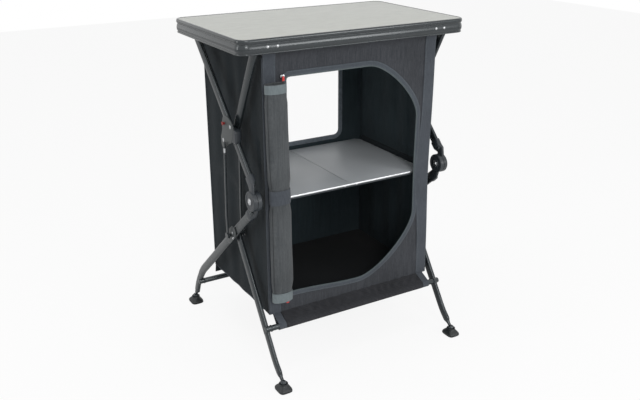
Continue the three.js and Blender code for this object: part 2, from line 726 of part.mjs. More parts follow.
// Zip slider and its pull, on the upper run of the zip
const sliderX = doorLeft - slider.before;
const sliderZ = doorTop + slider.above;
const sliderBackY = trackFrontY - fit;
add("zip_slider", "brightMetal", alongY(
  rounded(sliderX - slider.width / 2, sliderX + slider.width / 2,
    sliderZ - slider.height / 2, sliderZ + slider.height / 2, slider.corner),
  sliderBackY, sliderBackY - slider.thick, slider.edge,
));
const pullTop = sliderZ + pull.thick / 2;
const pullY = sliderBackY - slider.thick - pull.clear - pull.thick / 2;

add("zip_pull", "red", alongY(
  rounded(sliderX - pull.width / 2, sliderX + pull.width / 2, pullTop - pull.length, pullTop, pull.corner),
  pullY + pull.thick / 2, pullY - pull.thick / 2,
));

// The shelf in two halves on its sling
const shelfFront = frontY + shelf.frontInset;
const shelfRear = rearY - shelf.rearInset;
add("shelf_sling", "sideFabric", alongZ(
  frameOf(-inside + fit, inside - fit, frontY + sling.endInset, rearY - sling.endInset),
  shelfBottom - fit - cloth, shelfBottom - fit,
));
for (const [side, label] of [[-1, "left"], [1, "right"]]) {
  const [near, far] = [(side * shelf.joint) / 2, side * (halfWidth - shelf.sideClear)];
  const cornerX = far - side * shelf.corner;
  const board = polygon([
    [near, shelfFront], [cornerX, shelfFront], [far, shelfFront + shelf.corner],
    [far, shelfRear - shelf.corner], [cornerX, shelfRear], [near, shelfRear],
  ]);
  add(`shelf_${label}`, "shelfBoard", alongZ(board, shelfBottom, shelfTop));
  add(`shelf_trim_${label}`, "brightMetal", alongY(
    frameOf(near, cornerX, shelfTop - trim.height + fit, shelfTop),
    shelfFront - fit, shelfFront - fit - trim.thick,
  ));
}

export default cupboard;
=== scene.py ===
# Folding camping cupboard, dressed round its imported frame. Metres, +X right, -Y front, +Z up.
import json
from math import acos, atan2, copysign, cos, exp, pi, radians, sin

import bmesh
import bpy
from mathutils import Matrix, Vector, noise
from mathutils.geometry import delaunay_2d_cdt


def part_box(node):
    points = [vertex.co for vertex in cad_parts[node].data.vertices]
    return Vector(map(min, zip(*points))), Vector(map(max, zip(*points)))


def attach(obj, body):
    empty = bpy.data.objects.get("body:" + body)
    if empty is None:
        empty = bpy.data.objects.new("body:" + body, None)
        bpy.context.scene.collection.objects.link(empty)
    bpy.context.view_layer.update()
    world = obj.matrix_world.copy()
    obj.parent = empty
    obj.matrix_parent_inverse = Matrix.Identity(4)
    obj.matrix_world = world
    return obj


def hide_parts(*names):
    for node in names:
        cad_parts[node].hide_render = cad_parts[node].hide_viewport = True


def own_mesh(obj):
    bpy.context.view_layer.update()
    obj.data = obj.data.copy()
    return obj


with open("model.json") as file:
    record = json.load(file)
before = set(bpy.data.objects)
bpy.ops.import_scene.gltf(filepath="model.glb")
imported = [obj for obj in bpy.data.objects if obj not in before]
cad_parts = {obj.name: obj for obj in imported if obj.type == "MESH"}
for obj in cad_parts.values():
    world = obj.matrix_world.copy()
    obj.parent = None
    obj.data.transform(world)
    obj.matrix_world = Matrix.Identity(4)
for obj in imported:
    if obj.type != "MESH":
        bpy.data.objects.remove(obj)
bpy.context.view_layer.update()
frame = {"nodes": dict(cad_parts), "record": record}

# Camera: the photograph's viewpoint
LENS, SENSOR = 45.03, 36.0
CAMERA_AT = Vector((-1.083, -1.861, 1.221))
YAW, PITCH, ROLL = (radians(angle) for angle in (-30.22, 21.31, -0.25))


def add_camera():
    right = Vector((cos(YAW), sin(YAW), 0))
    ahead = Vector((-sin(YAW) * cos(PITCH), cos(YAW) * cos(PITCH), -sin(PITCH)))
    up = right.cross(ahead)
    across = right * cos(ROLL) + up * sin(ROLL)
    upward = up * cos(ROLL) - right * sin(ROLL)
    data = bpy.data.cameras.new("camera")
    data.lens, data.sensor_width = LENS, SENSOR
    camera = bpy.data.objects.new("camera", data)
    turn = Matrix((across, upward, -ahead)).transposed().to_4x4()
    camera.matrix_world = Matrix.Translation(CAMERA_AT) @ turn
    bpy.context.scene.collection.objects.link(camera)
    bpy.context.scene.camera = camera


# Places taken from the frame
def low(node):
    return Vector(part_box(node)[0])


def high(node):
    return Vector(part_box(node)[1])


def middle(node):
    return (low(node) + high(node)) / 2


def pivot(joint):
    found = next(j for j in frame["record"]["behaviour"]["joints"] if j["name"] == joint)
    return Vector(found["pos_m"])


def flat(point):
    return Vector((point.y, point.z))


FIT = 0.0003
CLOTH = 0.0011
BINDING_WIDTH, BINDING_THICK = 0.013, 0.0013
HALF = high("right_side_panel").x
FRONT = high("door_zip_track").y + FIT
REAR = high("window_binding").y + FIT + 0.002
FLOOR_Z, FLOOR_TOP = low("floor_panel").z, high("floor_panel").z
SEAM_Z = FLOOR_Z - 0.002
SIDE_TOP = high("left_side_panel").z
HEADER_FOOT = SIDE_TOP - 0.016
HUB, KNUCKLE, CROSS = pivot("front_frame_fold"), pivot("frame_fold"), pivot("rear_leg_fold")
TOP_REAR_BAR, TOP_FRONT_BAR = middle("rear_top_bar"), middle("front_top_bar")
LOW_REAR_BAR, LOW_FRONT_BAR = middle("rear_bottom_bar"), middle("front_bottom_bar")
BAR_RADIUS = (high("front_bottom_bar").z - low("front_bottom_bar").z) / 2
OUTER_X, INNER_X = middle("long_tube_right").x, middle("short_tube_right").x
TUBE_THICK = high("long_tube_right").x - low("long_tube_right").x
TUBE_WIDTH = 0.025
HALF_TUBE = TUBE_THICK / 2
WORKTOP_TOP = high("tabletop_rim").z
WORKTOP_HALF = Vector((high("tabletop_rim").x, high("tabletop_rim").y))
WORKTOP_CORNER = 0.028
SIDES = ((-1, "left"), (1, "right"))
TURN = 2 * pi
QUARTER = pi / 2


# Materials
def linear(level):
    share = level / 255
    return share / 12.92 if share <= 0.04045 else ((share + 0.055) / 1.055) ** 2.4


def colour(red, green, blue):
    return (linear(red), linear(green), linear(blue), 1)


def feed(tree, socket, value):
    if isinstance(value, bpy.types.NodeSocket):
        tree.links.new(value, socket)
    else:
        socket.default_value = value


def add_node(tree, kind, values=(), settings=(), **inputs):
    """A shader node. values fill its sockets in order, and inputs fill them by name."""
    made = tree.nodes.new("ShaderNode" + kind)
    for key, value in dict(settings).items():
        setattr(made, key, value)
    for index, value in enumerate(values):
        feed(tree, made.inputs[index], value)
    for key, value in inputs.items():
        feed(tree, made.inputs[key.replace("_", " ")], value)
    return made


class Surface:
    """One procedural material round a Principled shader."""

    def __init__(self, name, tint, roughness, **sockets):
        self.material = bpy.data.materials.new(name)
        self.material.use_nodes = True
        self.tree = self.material.node_tree
        self.shader = self.tree.nodes["Principled BSDF"]
        self.tint(tint)
        self.rough(roughness)
        for socket, value in sockets.items():
            self.shader.inputs[socket.replace("_", " ")].default_value = value
        self.place = self.node("TexCoord").outputs["Object"]
        self.normal = None

    def node(self, kind, values=(), settings=(), **inputs):
        return add_node(self.tree, kind, values, settings, **inputs)

    def tint(self, value):
        feed(self.tree, self.shader.inputs["Base Color"], value)

    def rough(self, value):
        feed(self.tree, self.shader.inputs["Roughness"], value)

    def maths(self, operation, first, second=0.0):
        return self.node("Math", (first, second), {"operation": operation}).outputs[0]

    def weighed(self, first, first_share, second, second_share):
        return self.maths("ADD", self.maths("MULTIPLY", first, first_share),
                          self.maths("MULTIPLY", second, second_share))

    def stretched(self, x, y, z):
        return self.node("Mapping", Vector=self.place, Scale=(x, y, z)).outputs[0]

    def noise(self, vector, scale, detail=2.0, rough=0.5):
        return self.node("TexNoise", Vector=vector, Scale=scale, Detail=detail, Roughness=rough).outputs["Fac"]

    def ramp(self, factor, low_at, high_at, low_value=0.0, high_value=1.0):
        return self.node("MapRange", Value=factor, From_Min=low_at, From_Max=high_at,
                         To_Min=low_value, To_Max=high_value).outputs[0]

    def blend(self, factor, first, second, how="MIX"):
        made = self.node("Mix", (factor,), {"data_type": "RGBA", "blend_type": how})
        feed(self.tree, made.inputs[6], first)
        feed(self.tree, made.inputs[7], second)
        return made.outputs[2]

    def shaded(self, tint, amount):
        """Sets the colour to the tint times a grey amount."""
        self.tint(self.blend(1.0, tint, self.node("CombineXYZ", (amount,) * 3).outputs[0], "MULTIPLY"))

    def bump(self, height, distance, strength=1.0):
        inputs = dict(Height=height, Distance=distance, Strength=strength)
        if self.normal is not None:
            inputs["Normal"] = self.normal
        self.normal = self.node("Bump", **inputs).outputs[0]
        self.tree.links.new(self.normal, self.shader.inputs["Normal"])


def woven(name, dark, light, thread, streak_width, streak_length, flat=False, rib=0.0, sheen=0.12):
    """Cloth with threads both ways, uneven yarn and soft large mottling. A rib makes it webbing."""
    dark, light = colour(*dark), colour(*light)
    made = Surface(name, dark, 0.9, Sheen_Weight=sheen, Sheen_Roughness=0.5, Specular_IOR_Level=0.25)
    split = made.node("SeparateXYZ", Vector=made.place).outputs
    across, along = (split[0], split[1]) if flat else (made.maths("ADD", split[0], split[1]), split[2])

    def spun(u, v, detail, rough=0.5):
        place = made.node("CombineXYZ", X=made.maths("MULTIPLY", across, 1 / u), Y=made.maths("MULTIPLY", along, 1 / v))
        return made.noise(place.outputs[0], 1.0, detail, rough)

    def wave(place, pitch):
        return made.maths("SINE", made.maths("MULTIPLY", place, TURN / pitch))

    streaks = spun(streak_width, streak_length, 3.0, 0.6)
    yarn = made.weighed(spun(9 * thread, thread, 1.0), 0.4, spun(thread, 9 * thread, 1.0), 0.6)
    share = made.weighed(made.ramp(streaks, 0.32, 0.68), 0.55, made.ramp(yarn, 0.35, 0.65), 0.45)
    mottled = made.ramp(made.noise(made.place, 9.0, 2.0), 0.3, 0.7, 0.88, 1.1)
    made.shaded(made.blend(share, dark, light), mottled)
    made.bump(made.maths("MULTIPLY", wave(across, thread * 2), wave(along, thread * 2)), 0.00025, 0.6)
    made.bump(yarn, 0.0004, 0.5)
    if rib:
        made.bump(wave(along, rib), 0.0004, 0.5)
    return made.material


def painted(name, tint, roughness, metallic, grain, coat=0.0, relief=0.25):
    """Smooth metal or moulded plastic with fine grain and slight unevenness in its gloss."""
    tint = colour(*tint)
    made = Surface(name, tint, roughness, Metallic=metallic, Coat_Weight=coat, Coat_Roughness=0.16)
    speck = made.noise(made.place, 1 / grain, 2.0, 0.6)
    worn = made.noise(made.place, 14.0, 3.0, 0.6)
    made.shaded(tint, made.ramp(worn, 0.3, 0.7, 0.9, 1.1))
    made.rough(made.ramp(worn, 0.3, 0.7, roughness - 0.05, roughness + 0.07))
    made.bump(speck, grain * relief, 0.35)
    return made.material


def laminate():
    made = Surface("laminate", colour(187, 189, 183), 0.42, Coat_Weight=0.15, Coat_Roughness=0.35)
    fine = made.ramp(made.noise(made.place, 900.0, 1.0), 0.35, 0.65)
    cloudy = made.ramp(made.noise(made.stretched(1, 2.2, 1), 26.0, 4.0, 0.65), 0.35, 0.65)
    share = made.weighed(fine, 0.45, cloudy, 0.55)
    made.tint(made.blend(share, colour(180, 182, 176), colour(195, 197, 191)))
    made.bump(made.noise(made.place, 1400.0, 1.0), 0.0001, 0.4)
    return made.material


def shelf_board():
    made = Surface("shelf_board", colour(158, 163, 167), 0.42, Specular_IOR_Level=0.6)
    cloudy = made.ramp(made.noise(made.place, 5.0, 2.0), 0.3, 0.7)
    made.tint(made.blend(cloudy, colour(168, 173, 177), colour(180, 184, 188)))
    made.rough(made.ramp(made.noise(made.place, 12.0, 1.0), 0.3, 0.7, 0.39, 0.45))
    made.bump(made.noise(made.place, 700.0, 1.0), 0.00003, 0.2)
    return made.material


def brushed(name, tint, roughness):
    tint = colour(*tint)
    made = Surface(name, tint, roughness, Metallic=1.0)
    lines = made.noise(made.stretched(1, 40, 40), 40.0, 3.0)
    made.tint(made.blend(made.ramp(lines, 0.3, 0.7), tint, tuple(0.86 * c for c in tint[:3]) + (1,)))
    made.rough(made.ramp(lines, 0.3, 0.7, roughness - 0.04, roughness + 0.08))
    made.bump(lines, 0.0001, 0.3)
    return made.material


MATERIALS = {  # painted: name, colour, roughness, metal, grain; woven: name, two colours, thread, streaks
    "laminate": laminate(),
    "rim": painted("rim_plastic", (42, 48, 51), 0.24, 0.3, 0.0012, 0.4, 0.04),
    "tube": painted("tube_metal", (44, 50, 53), 0.25, 0.4, 0.004, 0.25, 0.03),
    "bar": painted("bar_metal", (50, 56, 59), 0.27, 0.4, 0.004, 0.2, 0.03),
    "bright": brushed("bright_metal", (196, 198, 200), 0.26),
    "lip": brushed("shelf_lip_metal", (224, 226, 228), 0.34),
    "dark": painted("dark_plastic", (44, 49, 54), 0.36, 0.0, 0.0016),
    "cover": painted("cover_plastic", (62, 66, 67), 0.40, 0.0, 0.0016),
    "rubber": painted("rubber", (21, 26, 28), 0.42, 0.0, 0.002),
    "red": painted("red_plastic", (206, 40, 34), 0.35, 0.0, 0.002, 0.2),
    "deep_red": painted("deep_red_plastic", (134, 32, 30), 0.4, 0.0, 0.002),
    "front": woven("front_fabric", (43, 46, 50), (72, 74, 79), 0.0011, 0.0028, 0.05, sheen=0.08),
    "front_low": woven("front_hem_fabric", (33, 34, 37), (56, 57, 61), 0.0011, 0.0040, 0.05, sheen=0.05),
    "roll": woven("roll_fabric", (62, 66, 69), (88, 91, 93), 0.0011, 0.0040, 0.09, sheen=0.1),
    "side": woven("side_fabric", (20, 27, 31), (30, 37, 41), 0.0011, 0.005, 0.09, sheen=0.04),
    # The inner faces' cloth is a lighter copy of the side cloth: painted light that brightens the shaded inside of the
    # cabinet
    "inside": woven("painted_light_inside_fabric", (36, 47, 52), (50, 61, 66), 0.0011, 0.006, 0.09, sheen=0.04),
    "base": woven("base_fabric", (15, 18, 21), (23, 26, 29), 0.0012, 0.006, 0.02, flat=True, sheen=0.03),
    "webbing": woven("webbing", (64, 69, 76), (80, 85, 92), 0.0013, 0.003, 0.02, rib=0.0022),
    "binding": woven("binding_tape", (66, 72, 79), (80, 86, 93), 0.0010, 0.003, 0.03, rib=0.0016),
    # The window's tape is a lighter copy of the binding tape: painted light for a tape that lies in shade inside
    "window": woven("painted_light_window_tape", (92, 100, 108), (124, 132, 140), 0.0010, 0.010, 0.012, rib=0.0016),
    "band": woven("roll_band", (102, 112, 115), (122, 131, 134), 0.0012, 0.003, 0.02, rib=0.002),
    "zip": painted("zip_chain", (82, 93, 96), 0.4, 0.0, 0.0008),
    "board": shelf_board(),
}


# Meshes
class Shell:
    """Collects closed bodies that make up one piece."""

    def __init__(self):
        self.points, self.faces = [], []

    def add(self, points, faces):
        start = len(self.points)
        self.points += [tuple(point) for point in points]
        self.faces += [tuple(index + start for index in face) for face in faces]
        return self

    def loft(self, rings, round_trip=False):
        """A skin over closed rings of equal length. A round trip joins the last ring to the first."""
        size, count = len(rings[0]), len(rings)
        faces = []
        for i in range(count if round_trip else count - 1):
            here, there = i * size, ((i + 1) % count) * size
            faces += [(here + k, here + (k + 1) % size, there + (k + 1) % size, there + k) for k in range(size)]
        if not round_trip:
            faces.append(tuple(reversed(range(size))))
            faces.append(tuple(range((count - 1) * size, count * size)))
        return self.add([point for ring in rings for point in ring], faces)

    def sheet(self, rows, thickness):
        """A thin body over a grid of points."""
        wide, tall = len(rows[0]), len(rows)
        skin = [Vector(point) for row in rows for point in row]
        normals = []
        for j in range(tall):
            for i in range(wide):
                along = skin[j * wide + min(i + 1, wide - 1)] - skin[j * wide + max(i - 1, 0)]
                up = skin[min(j + 1, tall - 1) * wide + i] - skin[max(j - 1, 0) * wide + i]
                normals.append(along.cross(up).normalized())
        total = wide * tall
        faces = []
        for j in range(tall - 1):
            for i in range(wide - 1):
                a, b = j * wide + i, (j + 1) * wide + i
                faces.append((a, a + 1, b + 1, b))
                faces.append((a + total, b + total, b + 1 + total, a + 1 + total))
        rim = list(range(wide)) + [j * wide + wide - 1 for j in range(1, tall)]
        rim += [(tall - 1) * wide + i for i in range(wide - 2, -1, -1)] + [j * wide for j in range(tall - 2, 0, -1)]
        faces += [(a, a + total, b + total, b) for a, b in zip(rim, rim[1:] + rim[:1])]
        return self.add(skin + [point - normal * thickness for point, normal in zip(skin, normals)], faces)

    def piece(self, name, material, body, node=None, crease=40, slot=None):
        """The mesh as a piece of a body, in the place of a CAD node where it stands for one."""
        mesh = bpy.data.meshes.new(name)
        mesh.from_pydata(self.points, [], self.faces)
        mesh.validate()
        made = bpy.data.objects.new(name, mesh)
        bpy.context.scene.collection.objects.link(made)
        loose = bmesh.new()
        loose.from_mesh(mesh)
        bmesh.ops.recalc_face_normals(loose, faces=loose.faces)
        loose.to_mesh(mesh)
        loose.free()
        mesh.polygons.foreach_set("use_smooth", [True] * len(mesh.polygons))
        mesh.set_sharp_from_angle(angle=radians(crease))
        mesh.materials.append(MATERIALS[material])
        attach(made, body)
        if node:
            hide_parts(node)
        return made

    def soft(self, name, material, node=None, crease=60, body="cabinet"):
        """A piece, on the cabinet unless another body is given, with its own copy of its mesh."""
        made = self.piece(name, material, body, node, crease)
        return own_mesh(made)


def smoothstep(start, end, value):
    share = min(max((value - start) / (end - start), 0.0), 1.0)
    return share * share * (3 - 2 * share)


def bell(centre, width, value):
    return exp(-(((value - centre) / width) ** 2))


def ripple(*place):
    return noise.noise(Vector(place))


def spread(start, end, count):
    """Even steps from start to end."""
    return [start + (end - start) * k / count for k in range(count + 1)]


def tenths(*pairs):
    """Lengths given in tenths of a millimetre."""
    return [(a * 0.0001, b * 0.0001) for a, b in pairs]


def vectors(*pairs):
    return [Vector(pair) for pair in pairs]


def rounded_rectangle(half_u, half_v, radius, steps=8):
    """Counter-clockwise points of a rectangle with round corners."""
    points = []
    for quarter, (u, v) in enumerate(((1, 1), (-1, 1), (-1, -1), (1, -1))):
        for i in range(steps + 1):
            angle = QUARTER * (quarter + i / steps)
            points.append((u * (half_u - radius) + radius * cos(angle),
                           v * (half_v - radius) + radius * sin(angle)))
    return points


def superellipse(half_u, half_v, power, count=24):
    points = []
    for i in range(count):
        angle = TURN * (i + 0.5) / count
        c, s = cos(angle), sin(angle)
        points.append((half_u * copysign(abs(c) ** (2 / power), c),
                       half_v * copysign(abs(s) ** (2 / power), s)))
    return points


def softened(points, reach, steps=8):
    """A path whose inner corners are rounded."""
    path = [Vector(points[0])]
    for before, corner, after in zip(points, points[1:], points[2:]):
        a = corner + (before - corner).normalized() * min(reach, (before - corner).length / 2)
        b = corner + (after - corner).normalized() * min(reach, (after - corner).length / 2)
        for t in spread(0, 1, steps):
            path.append(a * (1 - t) ** 2 + corner * (2 * t * (1 - t)) + b * t * t)
    path.append(Vector(points[-1]))
    return [p for i, p in enumerate(path) if i == 0 or (p - path[i - 1]).length > 1e-5]


def slab(shell, outline, place, low_face, high_face, bevel, steps=3):
    """A plate with rounded edges. place(u, v, w) gives a point of it."""
    ring = [Vector(point) for point in outline]
    following = ring[1:] + ring[:1]
    sign = 1 if sum(a.x * b.y - b.x * a.y for a, b in zip(ring, following)) > 0 else -1
    inward = []
    for before, p, after in zip(ring[-1:] + ring, ring, following):
        into = (p - before).normalized()
        mean = (into + (after - p).normalized()).normalized()
        inward.append(Vector((-mean.y, mean.x)) * sign / max(mean.dot(into), 0.5))
    rings = []
    for face, towards in ((low_face, 1), (high_face, -1)):
        for k in range(steps + 1)[::towards]:
            angle = QUARTER * k / steps
            inset = bevel * (1 - sin(angle))
            depth = face + towards * bevel * (1 - cos(angle))
            rings.append([place(*(p + n * inset), depth) for p, n in zip(ring, inward)])
    return shell.loft(rings)


# Placings: each turns an outline's u and v and a height w into a point
def level(u, v, w):
    return Vector((u, v, w))


def upright(u, v, w):
    return Vector((u, w, v))


def forward(u, v, w):
    return Vector((u, -w, v))


def across_side(side):
    """u is Y, v is Z and w is the distance from the centre plane."""
    return lambda u, v, w: Vector((side * w, u, v))


def moved(place, u, v):
    return lambda a, b, c: place(u + a, v + b, c)


def shifted(outline, u, v):
    return [(u + a, v + b) for a, b in outline]


def turned(shell, profile, place, count=28):
    """A body of revolution over a profile of (radius, height)."""
    rings = []
    for radius, height in profile:
        radius = max(radius, 1e-5)
        rings.append([place(radius * cos(TURN * i / count), radius * sin(TURN * i / count), height)
                      for i in range(count)])
    return shell.loft(rings)


def dome(shell, at, radius, rise, place, count=16, seat=0.0004):
    """A rivet's round head, from a little under its seat."""
    u, v, w = at
    profile = [(radius, w - seat)]
    profile += [(radius * cos(angle) ** 0.7, w + rise * sin(angle)) for angle in spread(0, QUARTER, 5)]
    return turned(shell, profile, moved(place, u, v), count)


def flat_tube(shell, path, x, width=TUBE_WIDTH, thick=TUBE_THICK, step_at=None, step=0.0, caps=True):
    """A flattened tube along a path in the side plane, with round ends. Past step_at it is thinner."""
    runs = [(b - a).normalized() for a, b in zip(path, path[1:])]
    sections = []
    for point, into, out in zip(path, runs[:1] + runs, runs + runs[-1:]):
        mean = (into + out).normalized()
        sections.append((point, Vector((-mean.y, mean.x)) / max(mean.dot(into), 0.6), 1.0, 1.0))
    if caps:
        ends = []
        for (at, square, _, _), ahead in ((sections[0], -runs[0]), (sections[-1], runs[-1])):
            angles = [QUARTER * k / 6 * 0.97 for k in range(1, 7)]
            ends.append([(at + ahead * (width / 2) * sin(angle), square, cos(angle),
                          1 - 0.35 * max(0, sin(angle) - 0.8) / 0.2) for angle in angles])
        sections = ends[0][::-1] + sections + ends[1]
    if step_at is not None:
        stepped, before = [], None
        for point, square, wide, deep in sections:
            if point.y < step_at:
                thin = wide * (1 - step), deep * (1 - step * 1.4)
                if before is not None and before.y >= step_at:
                    edge = before.lerp(point, (step_at - before.y) / (point.y - before.y))
                    stepped.append((edge, square, wide, deep))
                    stepped.append((edge + (point - before).normalized() * 0.001, square, *thin))
                wide, deep = thin
            stepped.append((point, square, wide, deep))
            before = point
        sections = stepped
    return shell.loft([[Vector((x + depth * deep, *(point + square * (reach * wide))))
                        for depth, reach in superellipse(thick / 2, width / 2, 2.9, 28)]
                       for point, square, wide, deep in sections])


# The worktop
RIM_PROFILE = tenths(  # inset from the outer face, height under the worktop's top
    (66, 6), (52, 1), (36, 0), (21, 5), (10, 16), (4, 32),
    (1, 55), (3, 80), (10, 98), (20, 110), (27, 119), (28, 127),
    (22, 136), (14, 152), (6, 182), (1, 220), (1, 245), (7, 280),
    (18, 305), (26, 316), (27, 324), (19, 331), (12, 345), (14, 360),
    (26, 370), (48, 370), (60, 362),
    (60, 160), (88, 157), (90, 108), (66, 105),
)


def worktop():
    rings = []
    for inset, drop in RIM_PROFILE:
        outline = rounded_rectangle(WORKTOP_HALF.x - inset, WORKTOP_HALF.y - inset, WORKTOP_CORNER - inset, 12)
        rings.append([Vector((u, v, WORKTOP_TOP - drop)) for u, v in outline])
    Shell().loft(rings, round_trip=True).piece("worktop_rim", "rim", "tabletop", "tabletop_rim", 50)
    end = high("tabletop_board")
    outline = rounded_rectangle(end.x, end.y, WORKTOP_CORNER - (WORKTOP_HALF.x - end.x), 12)
    slab(Shell(), outline, level, low("tabletop_board").z, end.z, 0.0004).piece(
        "worktop_board", "laminate", "tabletop", "tabletop_board")


def front_brackets():
    """Hidden plates behind the rim, with the rivet heads that show on its face."""
    rim_face = WORKTOP_HALF.y
    plate_face = rim_face - 0.0063
    for side, label in SIDES:
        node = f"front_bracket_{label}"
        end, centre = high(node), middle(node)
        half = end - centre
        outline = shifted(rounded_rectangle(half.x, half.z, 0.003, 4), centre.x, centre.z)
        shell = slab(Shell(), outline, upright, -plate_face, end.y, 0.0005, 2)
        rivet_z = end.z - 0.0045
        for x in (centre.x - 0.013, centre.x + 0.013):
            dome(shell, (x, rivet_z, rim_face - 0.0002), 0.0036, 0.0014, forward)
            turned(shell, [(0.0017, plate_face - 0.001), (0.0017, rim_face)], moved(forward, x, rivet_z), 10)
        shell.piece(node + "_plate", "bright", "tabletop", node)


# The side frames
LEG_BENDS = vectors((0.209, 0.141), (0.249, 0.086), (0.264, 0.052))
FRONT_LEG_BENDS = vectors((-0.241, 0.060), (-0.260, 0.042))
BALL, BALL_RADIUS = Vector((0.284, 0.020)), 0.009
KNUCKLE_RADIUS, KNUCKLE_THICK = 0.026, 0.024


def near_line(point, through, run):
    return through + run * (point - through).dot(run)


LEG_RUN = (LEG_BENDS[0] - flat(CROSS)).normalized()
LONG_RUN = (flat(TOP_REAR_BAR) - flat(HUB)).normalized()
KNUCKLE_GAP = KNUCKLE_RADIUS + 0.001 + FIT + TUBE_WIDTH / 2
LEG_START = near_line(flat(KNUCKLE), flat(CROSS), LEG_RUN) + LEG_RUN * KNUCKLE_GAP
LONG_START = near_line(flat(KNUCKLE), flat(HUB), LONG_RUN) + LONG_RUN * KNUCKLE_GAP


def ball_end(shell, x, from_point, ball):
    """The plug that closes a leg's tube, its neck and the ball of the foot."""
    start, end = Vector((x, *from_point)), Vector((x, *ball))
    run, across = (end - start).normalized(), Vector((1, 0, 0))
    aside = run.cross(across).normalized()
    place = lambda u, v, w: start + across * u + aside * v + run * w
    length = (end - start).length
    turned(shell, [(0.0064, 0.0), (0.0064, length * 0.35), (0.0048, length * 0.5), (0.0045, length * 0.8)], place, 16)
    turned(shell, [(BALL_RADIUS * sin(angle), length - BALL_RADIUS * cos(angle))
                   for angle in spread(0, pi, 10)], place, 20)


def legs():
    for side, label in SIDES:
        for end, x, path, ball, step_at in (
                ("rear", OUTER_X, [LEG_START, *LEG_BENDS], BALL, 0.122),
                ("front", INNER_X, [flat(CROSS), *FRONT_LEG_BENDS], Vector((-BALL.x, BALL.y)), 0.124)):
            shell = flat_tube(Shell(), softened(path, 0.026), side * x, step_at=step_at, step=0.07)
            ball_end(shell, side * x, path[-1], ball)
            shell.piece(f"{end}_leg_tube_{label}", "tube", f"{end}_legs", f"{end}_leg_{label}")


def upper_tubes():
    for side, label in SIDES:
        for node, start, end, x, body in (("long_tube", LONG_START, TOP_REAR_BAR, OUTER_X, "upper_frame"),
                                          ("short_tube", flat(HUB), TOP_FRONT_BAR, INNER_X, "front_upper_frame")):
            shell = flat_tube(Shell(), [start, flat(end)], side * x)
            shell.piece(f"{node}_{label}_body", "tube", body, f"{node}_{label}")


def bars():
    edge = 0.0012
    for node, body in (("rear_top_bar", "top_hinge_bar"), ("front_top_bar", "front_upper_frame"),
                       ("front_bottom_bar", "front_legs"), ("rear_bottom_bar", "rear_legs")):
        centre, end = middle(node), high(node).x
        half = [(BAR_RADIUS, end - edge * 1.5), (BAR_RADIUS - edge * 0.6, end - edge * 0.4),
                (BAR_RADIUS - edge * 2, end)]
        profile = [(radius, -x) for radius, x in half[::-1]] + half
        around = lambda side: lambda u, v, w: Vector((side * w, centre.y + u, centre.z + v))
        shell = turned(Shell(), profile, around(1))
        tube_x = OUTER_X if "rear" in node else INNER_X
        inside_start, outside_start = tube_x - HALF_TUBE - 0.004, tube_x + HALF_TUBE + 0.0001
        for side in (-1, 1):
            for start in (inside_start, outside_start):
                if start == outside_start and start + 0.0018 > end:
                    continue
                turned(shell, [(BAR_RADIUS, start), (BAR_RADIUS + 0.0016, start + 0.0003),
                               (BAR_RADIUS + 0.0016, start + 0.0014), (BAR_RADIUS, start + 0.0018)], around(side))
        shell.piece(node + "_tube", "bar", body, node, 35)


PIN_PROFILE = tenths((84, -10), (84, 6), (76, 12), (52, 13), (46, 26), (30, 30), (20, 24), (1, 22))


def knuckle_disc(shell, place, seat, face):
    """A disc from its seat to its face, with a soft edge and a raised rim."""
    towards = copysign(1, face - seat)
    edge = 0.0022
    profile = [(KNUCKLE_RADIUS - 0.0004, seat), (KNUCKLE_RADIUS, seat + towards * 0.0005)]
    profile += [(KNUCKLE_RADIUS - edge * (1 - cos(angle)), face - towards * edge * (1 - sin(angle)))
                for angle in spread(0, QUARTER, 4)]
    profile += [(KNUCKLE_RADIUS - 0.0052, face), (KNUCKLE_RADIUS - 0.0062, face - towards * 0.0011),
                (0.0125, face - towards * 0.0011), (0.0118, face - towards * 0.0002), (0.0001, face)]
    turned(shell, profile, place, 48)


